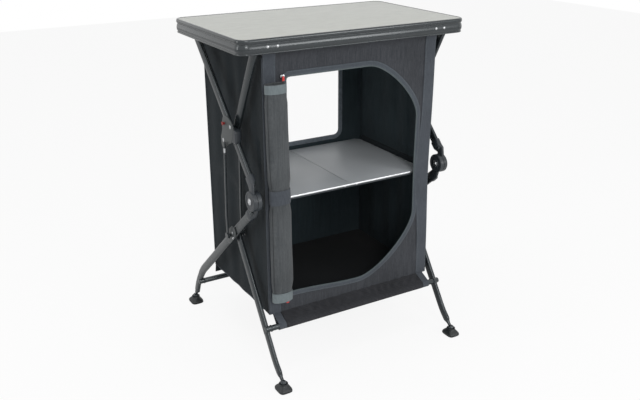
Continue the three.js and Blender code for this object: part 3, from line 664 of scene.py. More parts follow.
def knuckles():
    """Two discs side by side, each with a socket that holds one tube."""
    split, wall = 0.0008, 0.0022
    centre = flat(KNUCKLE)
    inner, outer = OUTER_X - KNUCKLE_THICK / 2, OUTER_X + KNUCKLE_THICK / 2
    half_x, half_w = HALF_TUBE + wall, TUBE_WIDTH / 2 + wall
    deep, shallow = KNUCKLE_THICK / 2 - 0.0006, split / 2 + 0.0004
    wide = KNUCKLE_RADIUS * 0.72
    back, front = -TUBE_WIDTH / 2, 0.030 - TUBE_WIDTH / 2
    for side, label in SIDES:
        place = moved(across_side(side), centre.x, centre.y)
        for part, body, face, own, start_at, run in (
                ("lower", "rear_legs", inner, -1, LEG_START, LEG_RUN),
                ("upper", "upper_frame", outer, 1, LONG_START, LONG_RUN)):
            shell = Shell()
            knuckle_disc(shell, place, OUTER_X + own * split / 2, face)
            aside = Vector((-run.y, run.x))
            axis = lambda along: start_at + run * along
            rings = []
            for spot, far_share, cross_share, half, swell in (
                    (centre, 0.1, 0.0, wide, 1.0),
                    (centre.lerp(axis(back), 0.55), 0.6, 0.0, wide * 0.45 + half_w * 0.55, 1.0),
                    (axis(back), 1.0, 0.0, half_w, 1.0), (axis(back + 0.004), 1.0, 0.35, half_w, 1.0),
                    (axis(back + 0.009), 1.0, 0.85, half_w, 1.0), (axis(back + 0.012), 1.0, 1.0, half_w, 1.0),
                    (axis(front - 0.0012), 1.0, 1.0, half_w, 1.0), (axis(front), 1.0, 1.0, half_w, 0.93)):
                far_x = own * (deep * (1 - far_share) + half_x * far_share)
                split_x = own * (shallow * (1 - cross_share) - half_x * cross_share)
                middle_x, half_depth = (far_x + split_x) / 2, abs(far_x - split_x) / 2
                rings.append([Vector((side * (OUTER_X + middle_x + depth), *(spot + aside * reach)))
                              for depth, reach in superellipse(half_depth * swell, half * swell, 3.4, 28)])
            shell.loft(rings)
            shell.piece(f"knuckle_{part}_body_{label}", "dark", body, f"knuckle_{part}_{label}", 38)
        shell = Shell()
        for towards, face in ((1, outer), (-1, inner)):
            turned(shell, [(radius, face + towards * rise) for radius, rise in PIN_PROFILE], place)
        shell.piece(f"knuckle_pin_body_{label}", "bright", "rear_legs", f"knuckle_pin_{label}", 30)


HUB_SHARES = ((-0.58, 0.1), (-0.4, 0.52), (0.16, 0.76), (0.84, 0.62), (1.0, -0.06),
              (1.22, -0.5), (1.08, -0.98), (0.62, -0.9), (0.2, -0.68), (-0.3, -0.46))
HUB_RIVET_SHARES = ((-0.2, 0.32), (0.86, -0.58))
HUB_RIVET_PROFILE = tenths((52, -4), (52, 4), (44, 8), (32, 9), (26, 12), (1, 12))
HUB_SIZE, HUB_THICK = 0.05, 0.005
HUB_SEAT = OUTER_X + HALF_TUBE + 0.0007
HUB_FACE = HUB_SEAT + HUB_THICK
SADDLE, TUBE_END = (-0.0790, 0.6400), (-0.055, 0.640)


def closed_spline(points, steps):
    """Catmull-Rom points through a closed outline."""
    count = len(points)
    made = []
    for i in range(count):
        a, b, c, d = (Vector(points[(i + k) % count]) for k in (-1, 0, 1, 2))
        for k in range(steps):
            t = k / steps
            made.append(0.5 * (2 * b + (c - a) * t + (2 * a - 5 * b + 4 * c - d) * t * t
                               + (3 * b - a - 3 * c + d) * t ** 3))
    return made


def hubs():
    washer = INNER_X - HALF_TUBE - 0.0025
    at = lambda share: flat(HUB) + Vector((0.86 * share[0] * HUB_SIZE - 0.007, share[1] * HUB_SIZE - 0.004))
    for side, label in SIDES:
        place = across_side(side)
        shell = slab(Shell(), closed_spline([at(share) for share in HUB_SHARES], 6), place,
                     HUB_SEAT, HUB_FACE, 0.0016, 4)
        turned(shell, [(0.009, washer), (0.009, washer + 0.0022), (0.004, washer + 0.0022), (0.004, HUB_SEAT + 0.001)],
               moved(place, HUB.y, HUB.z), 24)
        shell.piece(f"hub_cover_{label}", "cover", "upper_frame", f"hub_plate_{label}")
        saddle = slab(Shell(), shifted(rounded_rectangle(0.0215, 0.0185, 0.009, 6), *SADDLE), place,
                      OUTER_X - HALF_TUBE + 0.0002, HUB_FACE - 0.0008, 0.0036, 5)
        saddle.piece(f"hub_saddle_{label}", "dark", "upper_frame")
        rivets = Shell()
        for share in HUB_RIVET_SHARES:
            turned(rivets, [(radius, HUB_FACE + rise) for radius, rise in HUB_RIVET_PROFILE],
                   moved(place, *at(share)), 24)
        rivets.piece(f"hub_rivets_{label}", "bright", "upper_frame", crease=30)
        # The moulded end of the short tube, which shows beside the cover
        block = slab(Shell(), shifted(rounded_rectangle(0.018, 0.014, 0.006, 6), *TUBE_END), place,
                     INNER_X - HALF_TUBE - 0.0001, INNER_X + HALF_TUBE + 0.0001, 0.0024, 4)
        block.piece(f"short_tube_end_{label}", "dark", "front_upper_frame")


def cross_plates():
    seat, face = OUTER_X + HALF_TUBE + 0.0005, OUTER_X + HALF_TUBE + 0.0035
    length, width = 0.074, 0.034
    aside = Vector((-LEG_RUN.y, LEG_RUN.x))
    at = lambda u, v: flat(CROSS) + LEG_RUN * u + aside * v
    for side, label in SIDES:
        place = across_side(side)
        outline = [at(u, v) for u, v in rounded_rectangle(length / 2, width / 2, width / 2 - 0.0005, 10)]
        shell = slab(Shell(), outline, place, seat, face, 0.0011, 3)
        shell.piece(f"cross_cover_{label}", "cover", "rear_legs", f"cross_plate_{label}")
        rivets = Shell()
        for along, across in ((-0.0150, 0.0005), (-0.0085, -0.0120), (0.0215, 0.0)):
            dome(rivets, (*at(along, across), face), 0.0040, 0.001, place, 20)
        rivets.piece(f"cross_rivets_{label}", "bright", "rear_legs", crease=30)


STRUT_BEND, STRUT_TOP = vectors((-0.034, 0.405), (-0.044, 0.612))
STRUT_EYE = 0.0085


def struts():
    up = (STRUT_TOP - STRUT_BEND).normalized()
    for side, label in SIDES:
        for row in ("outer", "inner"):
            node = f"strut_{row}_{label}"
            x = middle(node).x
            thick = high(node).x - low(node).x
            half, edge = thick / 2, thick * 0.25
            shell = flat_tube(Shell(), softened([flat(CROSS), STRUT_BEND, STRUT_TOP], 0.026), x,
                              width=0.0078, thick=thick)
            turned(shell, [(STRUT_EYE - edge, -half), (STRUT_EYE, edge - half), (STRUT_EYE, half - edge),
                           (STRUT_EYE - edge, half)],
                   lambda u, v, w: Vector((x + w, CROSS.y + u, CROSS.z + v)), 28)
            shell.piece(node + "_rod", "tube", f"strut_{label}", node)
            clip = flat_tube(Shell(), [STRUT_TOP - up * 0.024, STRUT_TOP - up * 0.012], x, width=0.0086,
                             thick=thick * 1.16, caps=False)
            clip.piece(node + "_clip", "bright", f"strut_{label}")


def buttons():
    cap_low, cap_high = HUB_FACE + 0.0043, HUB_FACE + 0.0063
    edge = 0.0008
    profile = [(0.0034, HUB_FACE - 0.0004), (0.0034, cap_low), (0.0050 - edge, cap_low), (0.0050, cap_low + edge),
               (0.0050, cap_high - edge), (0.0045, cap_high - 0.0002), (0.0036, cap_high),
               (0.0001, cap_high - 0.0003)]
    for side, label in SIDES:
        node = f"latch_button_{label}"
        shell = turned(Shell(), profile, moved(across_side(side), *flat(middle(node))))
        shell.piece(node + "_cap", "deep_red", f"button_{label}", node, 35)


PAD_RINGS = (  # share of the pad's size, roundness, height
    (0.95, 4, 0.0), (1.0, 4, 0.0012), (1.0, 4, 0.0042), (0.975, 4, 0.0062), (0.91, 3.6, 0.0084),
    (0.80, 3.1, 0.0110), (0.67, 2.6, 0.0142), (0.54, 2.2, 0.0172))


def feet():
    """Boxy pads with a cup for the ball of the leg."""
    cup, bore = 0.015, BALL_RADIUS + 0.0009
    cup_rings = [(cup * 0.80, 0.0180), (cup * 0.82, 0.0194), (cup * 0.80, 0.0203), (cup * 0.77, 0.0206),
                 (bore * 1.14, 0.0204), (bore * 1.04, 0.0198)]
    for k in range(1, 5):
        angle = QUARTER * k / 4
        cup_rings.append((max(bore * cos(angle), 0.0001), BALL.y - bore * sin(angle)))
    for end in ("front", "rear"):
        for side, label in SIDES:
            node = f"foot_{end}_{label}"
            centre = middle(node)
            half = high(node) - centre
            rings = [(half.x * share, half.y * share, power, z) for share, power, z in PAD_RINGS]
            rings += [(radius, radius, 2, z) for radius, z in cup_rings]
            shell = Shell().loft([[Vector((centre.x + u, centre.y + v, z)) for u, v in superellipse(a, b, power, 40)]
                                  for a, b, power, z in rings])
            shell.piece(f"pad_{end}_{label}_body", "rubber", f"pad_{end}_{label}", node)


# Cloth
WAIST_AT = 0.478


def waist(z):
    """How far the right front corner is drawn in, halfway up."""
    return 0.006 * bell(0.48, 0.17, z)


def inner_edge(track, margin=BINDING_WIDTH):
    """The opening inside a tape that runs round it: its least and greatest x and z."""
    start, end = low(track), high(track)
    return start.x + margin, end.x - margin, start.z + margin, end.z - margin


DOOR_LEFT, DOOR_RIGHT, DOOR_LOW, DOOR_HIGH = inner_edge("door_zip_track")
_, WINDOW_HALF, WINDOW_LOW, WINDOW_HIGH = inner_edge("window_binding")
DOOR_CORNER, WINDOW_CORNER = 0.009, 0.016
CURVE_SHARE = 0.36


def evenly(points, step, closed=True):
    """The same outline with points about one step apart."""
    ring = list(points) + ([points[0]] if closed else [])
    made = []
    for a, b in zip(ring, ring[1:]):
        parts = max(1, round((b - a).length / step))
        made += [a.lerp(b, k / parts) for k in range(parts)]
    return made if closed else made + [ring[-1]]


def doorway(grow=0.0, steps=26):
    """The D-shaped doorway, counter-clockwise from its lower right, widened evenly by grow."""
    points = []
    corners = (
        ((DOOR_RIGHT - 0.184, DOOR_LOW), (DOOR_RIGHT, DOOR_LOW), (DOOR_RIGHT, DOOR_LOW + 0.170)),
        ((DOOR_RIGHT, DOOR_HIGH - 0.154), (DOOR_RIGHT, DOOR_HIGH), (DOOR_RIGHT - 0.159, DOOR_HIGH)),
    )
    for ends in corners:
        start, corner, end = vectors(*ends)
        a, b = start.lerp(corner, CURVE_SHARE), end.lerp(corner, CURVE_SHARE)
        for t in spread(0, 1, steps):
            at = start * (1 - t) ** 3 + a * 3 * t * (1 - t) ** 2 + b * 3 * t * t * (1 - t) + end * t ** 3
            along = (a - start) * (1 - t) ** 2 + (b - a) * 2 * t * (1 - t) + (end - b) * t * t
            along.normalize()
            points.append(at + Vector((along.y, -along.x)) * grow)
    reach = DOOR_CORNER + grow
    for quarter, v in ((1, DOOR_HIGH - DOOR_CORNER), (2, DOOR_LOW + DOOR_CORNER)):
        for k in range(7):
            angle = QUARTER * (quarter + k / 6)
            points.append(Vector((DOOR_LEFT + DOOR_CORNER + reach * cos(angle), v + reach * sin(angle))))
    ring = evenly(points, 0.006)
    for p in ring:
        p.y += 0.013 * smoothstep(0.02, -0.19, p.x) * smoothstep(0.30, 0.21, p.y)
    return ring


def inside(point, outline):
    found = False
    for a, b in zip(outline, outline[-1:] + outline):
        if (a.y > point.y) != (b.y > point.y) and point.x < (b.x - a.x) * (point.y - a.y) / (b.y - a.y) + a.x:
            found = not found
    return found


def cloth_points(outer, holes, step):
    """The borders' points with a staggered grid between them, and the borders' edges."""
    points, edges = [], []
    for ring in [outer, *holes]:
        start = len(points)
        points += ring
        edges += [(start + k, start + (k + 1) % len(ring)) for k in range(len(ring))]
    u0, u1 = min(p.x for p in outer), max(p.x for p in outer)
    v0, v1 = min(p.y for p in outer), max(p.y for p in outer)
    cells = {}
    for p in points:
        cells.setdefault((int(p.x // step), int(p.y // step)), []).append(p)
    rows, columns = int((v1 - v0) / (step * 0.87)), int((u1 - u0) / step)
    for j in range(1, rows):
        v = v0 + (v1 - v0) * j / rows
        for i in range(columns):
            p = Vector((u0 + (u1 - u0) * (i + (0.75 if j % 2 else 0.25)) / columns, v))
            cell = (int(p.x // step), int(p.y // step))
            near = [q for du in (-1, 0, 1) for dv in (-1, 0, 1) for q in cells.get((cell[0] + du, cell[1] + dv), ())]
            if all((p - q).length > step * 0.55 for q in near) and inside(p, outer):
                if not any(inside(p, hole) for hole in holes):
                    points.append(p)
    return points, edges


def cloth_panel(name, outer, holes, step, place, material, node):
    """A thin panel over an outline with holes. place(u, v, depth) gives its points, and depth 0 is its outer face."""
    outer = evenly(outer, step)
    holes = [evenly(hole, step) for hole in holes]
    points, _, triangles, *_ = delaunay_2d_cdt(*cloth_points(outer, holes, step), [], 0, 1e-6)
    kept, area, used = [], 0.0, {}
    for triangle in triangles:
        corners = [points[k] for k in triangle]
        centre = sum(corners, Vector((0, 0))) / 3
        size = abs((corners[1] - corners[0]).cross(corners[2] - corners[0])) / 2
        if size > 1e-8 and inside(centre, outer) and not any(inside(centre, hole) for hole in holes):
            kept.append(tuple(used.setdefault(index, len(used)) for index in triangle))
            area += size
    total = len(used)
    faces = kept + [tuple(k + total for k in reversed(face)) for face in kept]
    sides = {(a, b): None for face in kept for a, b in zip(face, face[1:] + face[:1])}
    faces += [(b, a, a + total, b + total) for a, b in sides if (b, a) not in sides]
    skins = [place(*points[k], depth) for depth in (0.0, CLOTH) for k in used]
    made = Shell().add(skins, faces).soft(name, material, node, 50)
    # The inner faces take the lighter inside cloth, painted light for the shaded interior
    made.data.materials.append(MATERIALS["inside"])
    for polygon in made.data.polygons[len(kept):2 * len(kept)]:
        polygon.material_index = 1
    return made, area


DOOR_POINTS = doorway()


def front_place(x, z, depth):
    """The front panel leans back to its bar, and ripples a little away from the doorway."""
    lean = max(z - HEADER_FOOT, 0.0) * (FRONT - TOP_FRONT_BAR.y) / (TOP_FRONT_BAR.z - HEADER_FOOT)
    p = Vector((x, z))
    inset = min((p - q).length for q in DOOR_POINTS)
    gathers = smoothstep(0.80, 0.85, z) * (0.35 + 0.65 * smoothstep(0.10, -0.20, x))
    folds = 0.0011 * gathers * sin(TURN * (x / 0.021 + 0.9 * ripple(x * 9, z * 6, 1.0)))
    folds += 0.0012 * ripple(x * 34, z * 5, 3.0) * smoothstep(0.0, 0.03, inset)
    low_right = smoothstep(0.36, 0.20, z) * smoothstep(-0.15, 0.08, x)
    folds += 0.0011 * low_right * sin(TURN * (x / 0.034 + z / 0.11 + 0.8 * ripple(x * 8, z * 8, 5.0)))
    folds *= smoothstep(HALF - 0.001, HALF - 0.05, abs(x)) * smoothstep(0.013, 0.035, inset)
    return Vector((x - waist(z) * smoothstep(0.12, HALF, x), FRONT - lean - folds + depth, z))


def front_cloth():
    top = TOP_FRONT_BAR.z - BAR_RADIUS - 0.0015
    outline = vectors((-HALF, SEAM_Z), (HALF, SEAM_Z), (HALF, top - 0.026), (HALF - 0.012, top - 0.018),
                      (HALF - 0.034, top), (-HALF, top))
    made, area = cloth_panel("front_cloth", outline, [doorway()], 0.008, front_place, "front", "front_panel")


TAPE_CROWN = 0.35
TAPE_PROFILE = (  # share of the width, height in thicknesses
    (0.0, 0.0), (0.0, 0.7), (0.06, 1.0), (0.3, 1.0 + TAPE_CROWN * 0.7), (0.5, 1.0 + TAPE_CROWN),
    (0.7, 1.0 + TAPE_CROWN * 0.7), (0.94, 1.0), (1.0, 0.7), (1.0, 0.0))


def along_route(route):
    """Each point of a closed route, with the direction along it and the one out of it."""
    for before, p, after in zip(route[-1:] + route, route, route[1:] + route[:1]):
        along = (after - before).normalized()
        yield p, along, Vector((along.y, -along.x))


def tape(route, place, lift=0.0):
    """A flat tape round a closed route in the panel's plane. place(u, v, depth) gives a point."""
    rings = []
    for p, _, out in along_route(route):
        rings.append([place(*(p + out * BINDING_WIDTH * share), -(lift + BINDING_THICK * rise))
                      for share, rise in TAPE_PROFILE])
    return Shell().loft(rings, round_trip=True)


def stitches(shell, route, place, pitch=0.0042, length=0.0026, wide=0.0006, rise=0.0003, lift=0.0, closed=True):
    """Short thread bars along a route."""
    points = evenly(route, 0.002, closed)
    walked, due = 0.0, 0.0
    for a, b in zip(points, points[1:]):
        walked += (b - a).length
        if walked >= due:
            due += pitch
            along = (b - a).normalized()
            aside = Vector((-along.y, along.x)) * wide / 2
            end = a + along * length
            shell.loft([[place(*(p + aside * (share * across)), -lift - rise * share * up)
                         for across, up in ((-1, 0), (-1, 1), (1, 1), (1, 0))]
                        for p, share in ((a, 0.4), (a.lerp(end, 0.25), 1.0), (a.lerp(end, 0.75), 1.0), (end, 0.4))])
    return shell


def door_binding():
    route = evenly(doorway(), 0.006)
    tape(route, front_place, lift=0.0001).soft("door_binding", "binding", "door_zip_track", 55)
    seams = Shell()
    for grow in (0.0022, 0.0108):
        stitches(seams, doorway(grow), front_place, lift=BINDING_THICK * 1.12)
    seams.soft("door_binding_stitches", "band")
    # The zip's chain on the doorway's edge: a cord with teeth on it
    radius = 0.0011
    angles = [TURN * k / 8 for k in range(8)]
    shell = Shell().loft([[front_place(*(p + out * (radius * cos(a) - 0.0004)), -0.0006 + radius * sin(a))
                           for a in angles] for p, _, out in along_route(route)], round_trip=True)
    points = evenly(doorway(), 0.0026)
    for a, b in zip(points, points[1:] + points[:1]):
        along = (b - a).normalized()
        out = Vector((along.y, -along.x))
        tooth = [a + along * du + out * dv
                 for du, dv in ((-0.0007, -0.0020), (0.0007, -0.0020), (0.0007, 0.0006), (-0.0007, 0.0006))]
        shell.loft([[front_place(*q, depth) for q in tooth] for depth in (0.0009, -0.0019)])
    shell.soft("door_zip_chain", "zip", crease=40)


def corner_widening(z):
    return 0.015 * bell(WAIST_AT, 0.10, z)


def outward(rows, side):
    """A grid whose rows run away from the middle, turned so that its face looks out on either side."""
    return rows if side < 0 else [row[::-1] for row in rows]


def corner_webbings():
    """Webbing up both front corners."""
    wide, thick = 0.034, 0.0013
    top = TOP_FRONT_BAR.z - BAR_RADIUS - 0.003
    face = lambda z: FRONT - max(z - HEADER_FOOT, 0) * 0.12
    for side, label in SIDES:
        right = max(side, 0)
        rows = []
        for z in spread(SEAM_Z + 0.002, top, 90):
            row = []
            for share in spread(0, 1, 6):
                x = side * (HALF - 0.0004 - (wide + right * corner_widening(z)) * share)
                across = x - waist(z) if right else front_place(x, z, 0.0).x
                swell = 0.0003 * sin(pi * share)
                row.append(Vector((across, face(z) - 0.0016 - swell, z)))
            rows.append(row)
        Shell().sheet(outward(rows, side), thick).soft(
            f"corner_tape_{label}", "webbing", f"corner_webbing_{label}", 50)
        seams = Shell()
        for inset, spreads in ((0.003, 0), (0.031, right)):
            line = [Vector((side * (HALF - inset) - right * waist(z) - spreads * corner_widening(z), z))
                    for z in spread(SEAM_Z + 0.01, top - 0.01, 60 if right else 1)]
            stitches(seams, line, lambda u, v, depth: Vector((u, face(v) - 0.0018 + depth, v)), closed=False)
        seams.soft(f"corner_stitches_{label}", "band")


def tangent_loop(seam, bar, radius, steps=20):
    """From a seam round a bar and back: straight, round the far side, straight."""
    centre = flat(bar)
    away = seam - centre
    base = atan2(away.y, away.x)
    open_angle = acos(radius / away.length)
    facing = 1 if centre.x > 0 else -1
    at = lambda angle: centre + Vector((cos(angle), sin(angle))) * radius
    first, last = base - facing * open_angle, base + facing * open_angle
    path = [seam.lerp(at(first), k / 9) for k in range(9)]
    path += [at(angle) for angle in spread(first, first - facing * (TURN - 2 * open_angle), steps)]
    back = seam + Vector((-0.0022 * facing, 0.0))
    return path + [at(last).lerp(back, k / 9) for k in range(1, 10)]


def hem(name, seam, bar, ends, radius, wrinkle, material, thickness=CLOTH, columns=120):
    """A flap that hangs from a seam and is sewn round a bar, and its length."""
    path = tangent_loop(seam, bar, radius)
    walked = [0.0]
    for a, b in zip(path, path[1:]):
        walked.append(walked[-1] + (b - a).length)
    rows = []
    for j, (before, p, after) in enumerate(zip(path[:1] + path, path, path[1:] + path[-1:])):
        share = walked[j] / walked[-1]
        flap = sin(pi * min(walked[j] / walked[8], 1.0)) if j <= 9 else 0.0
        along = (after - before).normalized()
        row = []
        for x in spread(*ends, columns):
            wave = sin(TURN * (x / 0.031 + walked[j] / 0.05 + 1.1 * ripple(x * 7, share * 3, 2.0)))
            wave += 0.8 * ripple(x * 40, walked[j] * 40, 7.0)
            row.append(Vector((x, *(p + Vector((along.y, -along.x)) * wrinkle * wave * flap))))
        rows.append(row)
    return Shell().sheet(rows, thickness).soft(name, material), walked[-1]


FLAP_WIDE, FLAP_START, FLAP_TALL = 0.0605, 0.196, 0.030


def hems():
    for end, seam_y, bar, material, wrinkle, reach in (
            ("front", FRONT + 0.0006, LOW_FRONT_BAR, "front_low", 0.0016, 0.224),
            ("rear", REAR - 0.0006, LOW_REAR_BAR, "side", 0.0018, 0.170)):
        seam = Vector((seam_y, SEAM_Z + 0.0006))
        name, cloth = end + "_hem", end + "_cloth"
        made, length = hem(name, seam, bar, (-reach, reach), BAR_RADIUS + 0.0018, wrinkle, material)
        outside = flat(bar) + Vector((copysign(BAR_RADIUS + 0.0018, bar.y), 0.0))
        run = (seam - outside).normalized()
        square = Vector((-run.y, run.x))
        if (square.x > 0) != (bar.y > 0):
            square.negate()
        at = outside + run * 0.011
        line = [Vector((-reach + 0.004, 0)), Vector((reach - 0.004, 0))]
        stitches(Shell(), line, lambda u, v, d: Vector((u, *(at + run * v - square * (d - 0.0009)))),
                 0.0046, 0.0030, 0.0012, 0.0006, closed=False).soft(name + "_stitches", "binding")
        for side, label in SIDES:
            ends = sorted((side * (reach + 0.001), side * (reach + 0.022)))
            tab, tall = hem(f"{name}_tab_{label}", seam, bar, ends, BAR_RADIUS + 0.0014, 0.0,
                            "webbing", 0.0012, 6)
    for side, label in SIDES:
        rows = [[Vector((x, REAR - 0.0005 + 0.006 * share + 0.0012 * ripple(x * 60, z * 30, 3.0), z))
                 for x in spread(side * FLAP_START, side * (FLAP_START + FLAP_WIDE), 16)]
                for share, z in [(share, SEAM_Z + 0.004 - FLAP_TALL * share) for share in spread(0, 1, 8)]]
        made = Shell().sheet(outward(rows, side), CLOTH).soft(f"rear_corner_flap_{label}", "side")


def rear_place(x, z, depth):
    lean = max(z - HEADER_FOOT, 0.0) * (TOP_REAR_BAR.y - REAR) / (TOP_REAR_BAR.z - HEADER_FOOT)
    frame_share = smoothstep(0.0, 0.03, max(abs(x) - WINDOW_HALF, WINDOW_LOW - z, z - WINDOW_HIGH))
    lower = smoothstep(WINDOW_LOW, WINDOW_LOW - 0.05, z)
    folds = 0.0016 * frame_share * ripple(x * 22, z * 4, 9.0)
    folds += 0.0022 * lower * smoothstep(SEAM_Z, SEAM_Z + 0.06, z) * sin(
        TURN * (x / 0.075 + 0.7 * ripple(x * 5, z * 3, 11.0)))
    calm = smoothstep(HALF, HALF - 0.04, abs(x))
    return Vector((x, REAR + lean - depth - abs(folds) * calm, z))


def rear_cloth():
    top = TOP_REAR_BAR.z - BAR_RADIUS - 0.0015
    outline = vectors((-HALF, SEAM_Z), (HALF, SEAM_Z), (HALF, top), (-HALF, top))
    window = vectors(*shifted(rounded_rectangle(WINDOW_HALF, (WINDOW_HIGH - WINDOW_LOW) / 2, WINDOW_CORNER, 6),
                              0, (WINDOW_LOW + WINDOW_HIGH) / 2))
    made, area = cloth_panel("rear_cloth", outline, [window], 0.010, rear_place, "side", "rear_panel")
    # The window's tape has the lighter colours, painted light for its shaded place
    tape(evenly(window, 0.005), lambda u, v, d: Vector(
        (u, REAR - 0.0024 + d - 0.0006 * abs(ripple(u * 60, v * 60, 4.0)), v))).soft(
            "window_edge", "window", "window_binding", 55)


SIDE_FRONT, SIDE_REAR = FRONT + 0.0012, REAR - 0.0012
PIPE = [(0.0012 * cos(pi * k / 4), 0.0012 * sin(pi * k / 4)) for k in range(8)]


def side_cloths():
    """The side panels hang in soft upright folds between the corners."""
    for side, label in SIDES:
        drawn = lambda z: waist(z) if side > 0 else 0.0

        def place(y, z, depth):
            across = (y - SIDE_FRONT) / (SIDE_REAR - SIDE_FRONT)
            hung = sin(pi * min(max(across, 0.0), 1.0)) ** 0.6
            settle = smoothstep(SEAM_Z, SEAM_Z + 0.05, z) * smoothstep(SIDE_TOP + 0.01, SIDE_TOP - 0.10, z)
            shift = 0.0022 * (1 + sin(TURN * (y / 0.085 + 0.35 * ripple(y * 4, z * 2, side * 3.0))))
            shift += 0.0016 * (1 + ripple(y * 26, z * 5, side * 8.0))
            pleat_at = -0.137 - 0.0857143 * (0.64 - z)
            pleat = smoothstep(0.648, 0.632, z) * smoothstep(0.395, 0.44, z)
            shift += 0.0085 * pleat * bell(pleat_at, 0.0055, y)
            shift -= 0.0020 * pleat * (bell(pleat_at + 0.015, 0.006, y) + bell(pleat_at - 0.014, 0.005, y))
            shift *= 1 - 0.9 * bell(0.492, 0.022, z)
            shift = shift * hung * (0.35 + 0.65 * settle) + drawn(z) * smoothstep(0.10, 0.0, across)
            return Vector((side * (HALF - shift - depth), y, z))

        corner = SIDE_TOP + (0.013 if side < 0 else -0.012)
        outline = vectors((SIDE_FRONT, FLOOR_Z - 0.001), (SIDE_REAR, FLOOR_Z - 0.001), (SIDE_REAR, SIDE_TOP),
                          (SIDE_FRONT + 0.04, SIDE_TOP), (SIDE_FRONT, corner))
        made, _ = cloth_panel(f"side_cloth_{label}", outline, [], 0.009, place, "side", f"{label}_side_panel")
        edge = Shell()
        for y, waisted in ((SIDE_FRONT, 1), (SIDE_REAR, 0)):
            edge.loft([[Vector((side * (HALF - waisted * drawn(z) + 0.0004) + u, y + v, z)) for u, v in PIPE]
                       for z in spread(FLOOR_Z, SIDE_TOP, 60)])
        edge.loft([[Vector((place(y, FLOOR_Z, 0.0).x + u, y, FLOOR_Z + v)) for u, v in PIPE]
                   for y in spread(SIDE_FRONT, SIDE_REAR, 40)])
        edge.soft(f"side_piping_{label}", "binding")


def floor_cloth():
    centre = middle("floor_panel")
    half = high("floor_panel") - centre
    outline = shifted(rounded_rectangle(half.x + centre.x, half.y, 0.004, 3), 0, centre.y)
    slab(Shell(), outline, level, FLOOR_Z, FLOOR_TOP, 0.0015, 3).soft("cabinet_base", "base", "floor_panel", 40)


SHELF_REACH = high("shelf_right").x - 0.007


def sling_cloth():
    start, end = low("shelf_sling"), high("shelf_sling")
    reach = HALF - 0.0022
    across = spread(-reach, -SHELF_REACH, 8)[:-1] + spread(-SHELF_REACH, SHELF_REACH, 40)
    across += spread(SHELF_REACH, reach, 8)[1:]
    raised = lambda x: 0.018 * smoothstep(SHELF_REACH + 0.001, HALF - 0.003, abs(x))
    rows = [[Vector((x, y, end.z - 0.0004 + raised(x) - 0.0007 * abs(ripple(x * 30, y * 12, 1.0)))) for x in across]
            for y in spread(start.y, end.y, 30)]
    made = Shell().sheet(rows, CLOTH).soft("shelf_cloth", "side", "shelf_sling")


# The rolled-up door
ROLL_X, ROLL_Y = middle("door_roll").x, middle("door_roll").y
ROLL_HALF = (high("door_roll").x - low("door_roll").x) / 2
ROLL_LOW, ROLL_TOP = low("door_roll").z - 0.010, high("door_roll").z + 0.004
STRAP_NODES = ("roll_strap_bottom", "roll_strap_middle", "roll_strap_top")
STRAP_SHIFTS = (-0.012, 0.0, 0.005)
STRAP_SPANS = [(low(node).z + shift, high(node).z + shift) for node, shift in zip(STRAP_NODES, STRAP_SHIFTS)]


def roll_point(reach, angle, z, flatter=0.0):
    """A point of the roll, which is half as deep as wide and leans a little near its top."""
    lean = -0.006 * smoothstep(0.42, 0.79, z)
    return Vector((ROLL_X + lean + reach * cos(angle), ROLL_Y + (reach * 0.5 + flatter) * sin(angle), z))


def roll_radius(angle, z):
    """The roll's outer reach at one angle and height, as a share of its half width."""
    pinch = max(smoothstep(start - 0.03, start, z) * smoothstep(end + 0.03, end, z) for start, end in STRAP_SPANS)
    folds = 0.045 * sin(3 * angle + 1.2 + 0.8 * ripple(z * 3, 0.5, 2.0))
    folds += 0.080 * ripple(cos(angle) * 2.1, sin(angle) * 2.1, z * 3.0)
    folds += 0.040 * ripple(cos(angle) * 5, sin(angle) * 5, z * 9.0)
    return 1.0 - 0.09 * pinch + folds * (1 - 0.80 * pinch) - 0.03


def roll_straps():
    for node, material, (start, end) in zip(STRAP_NODES, ("band", "webbing", "band"), STRAP_SPANS):
        rows = []
        for j, z in enumerate(spread(start, end, 8)):
            reach = ROLL_HALF * 0.905 + 0.0011 + 0.0003 * sin(pi * j / 8)
            rows.append([roll_point(reach, angle, z, 0.0006) for angle in spread(0, TURN, 48)])
        Shell().sheet(rows, 0.0010).soft(node + "_loop", material, node, 50)


def door_roll():
    turns, per_turn, pitch, levels = 3.4, 44, 0.0021, 84
    rows = []
    for z in spread(ROLL_LOW, ROLL_TOP, levels):
        row = []
        for i in range(int(turns * per_turn) + 1):
            turn = i / per_turn
            angle = pi * 1.12 - TURN * turn
            row.append(roll_point(ROLL_HALF * roll_radius(angle, z) - pitch * turn, angle, z))
        rows.append(row)
    made = Shell().sheet(rows, 0.0008).soft("rolled_door", "roll", "door_roll")


def pull_tag():
    """The small red end of the strap's tag under the roll."""
    outline = shifted(rounded_rectangle(0.0040, 0.0048, 0.0012, 4), ROLL_X + 0.012, ROLL_LOW - 0.002)
    slab(Shell(), outline, lambda u, v, w: Vector((u, ROLL_Y - 0.006 + w, v)), -0.0009, 0.0009, 0.0005, 2).soft(
        "roll_tag", "red", crease=40)


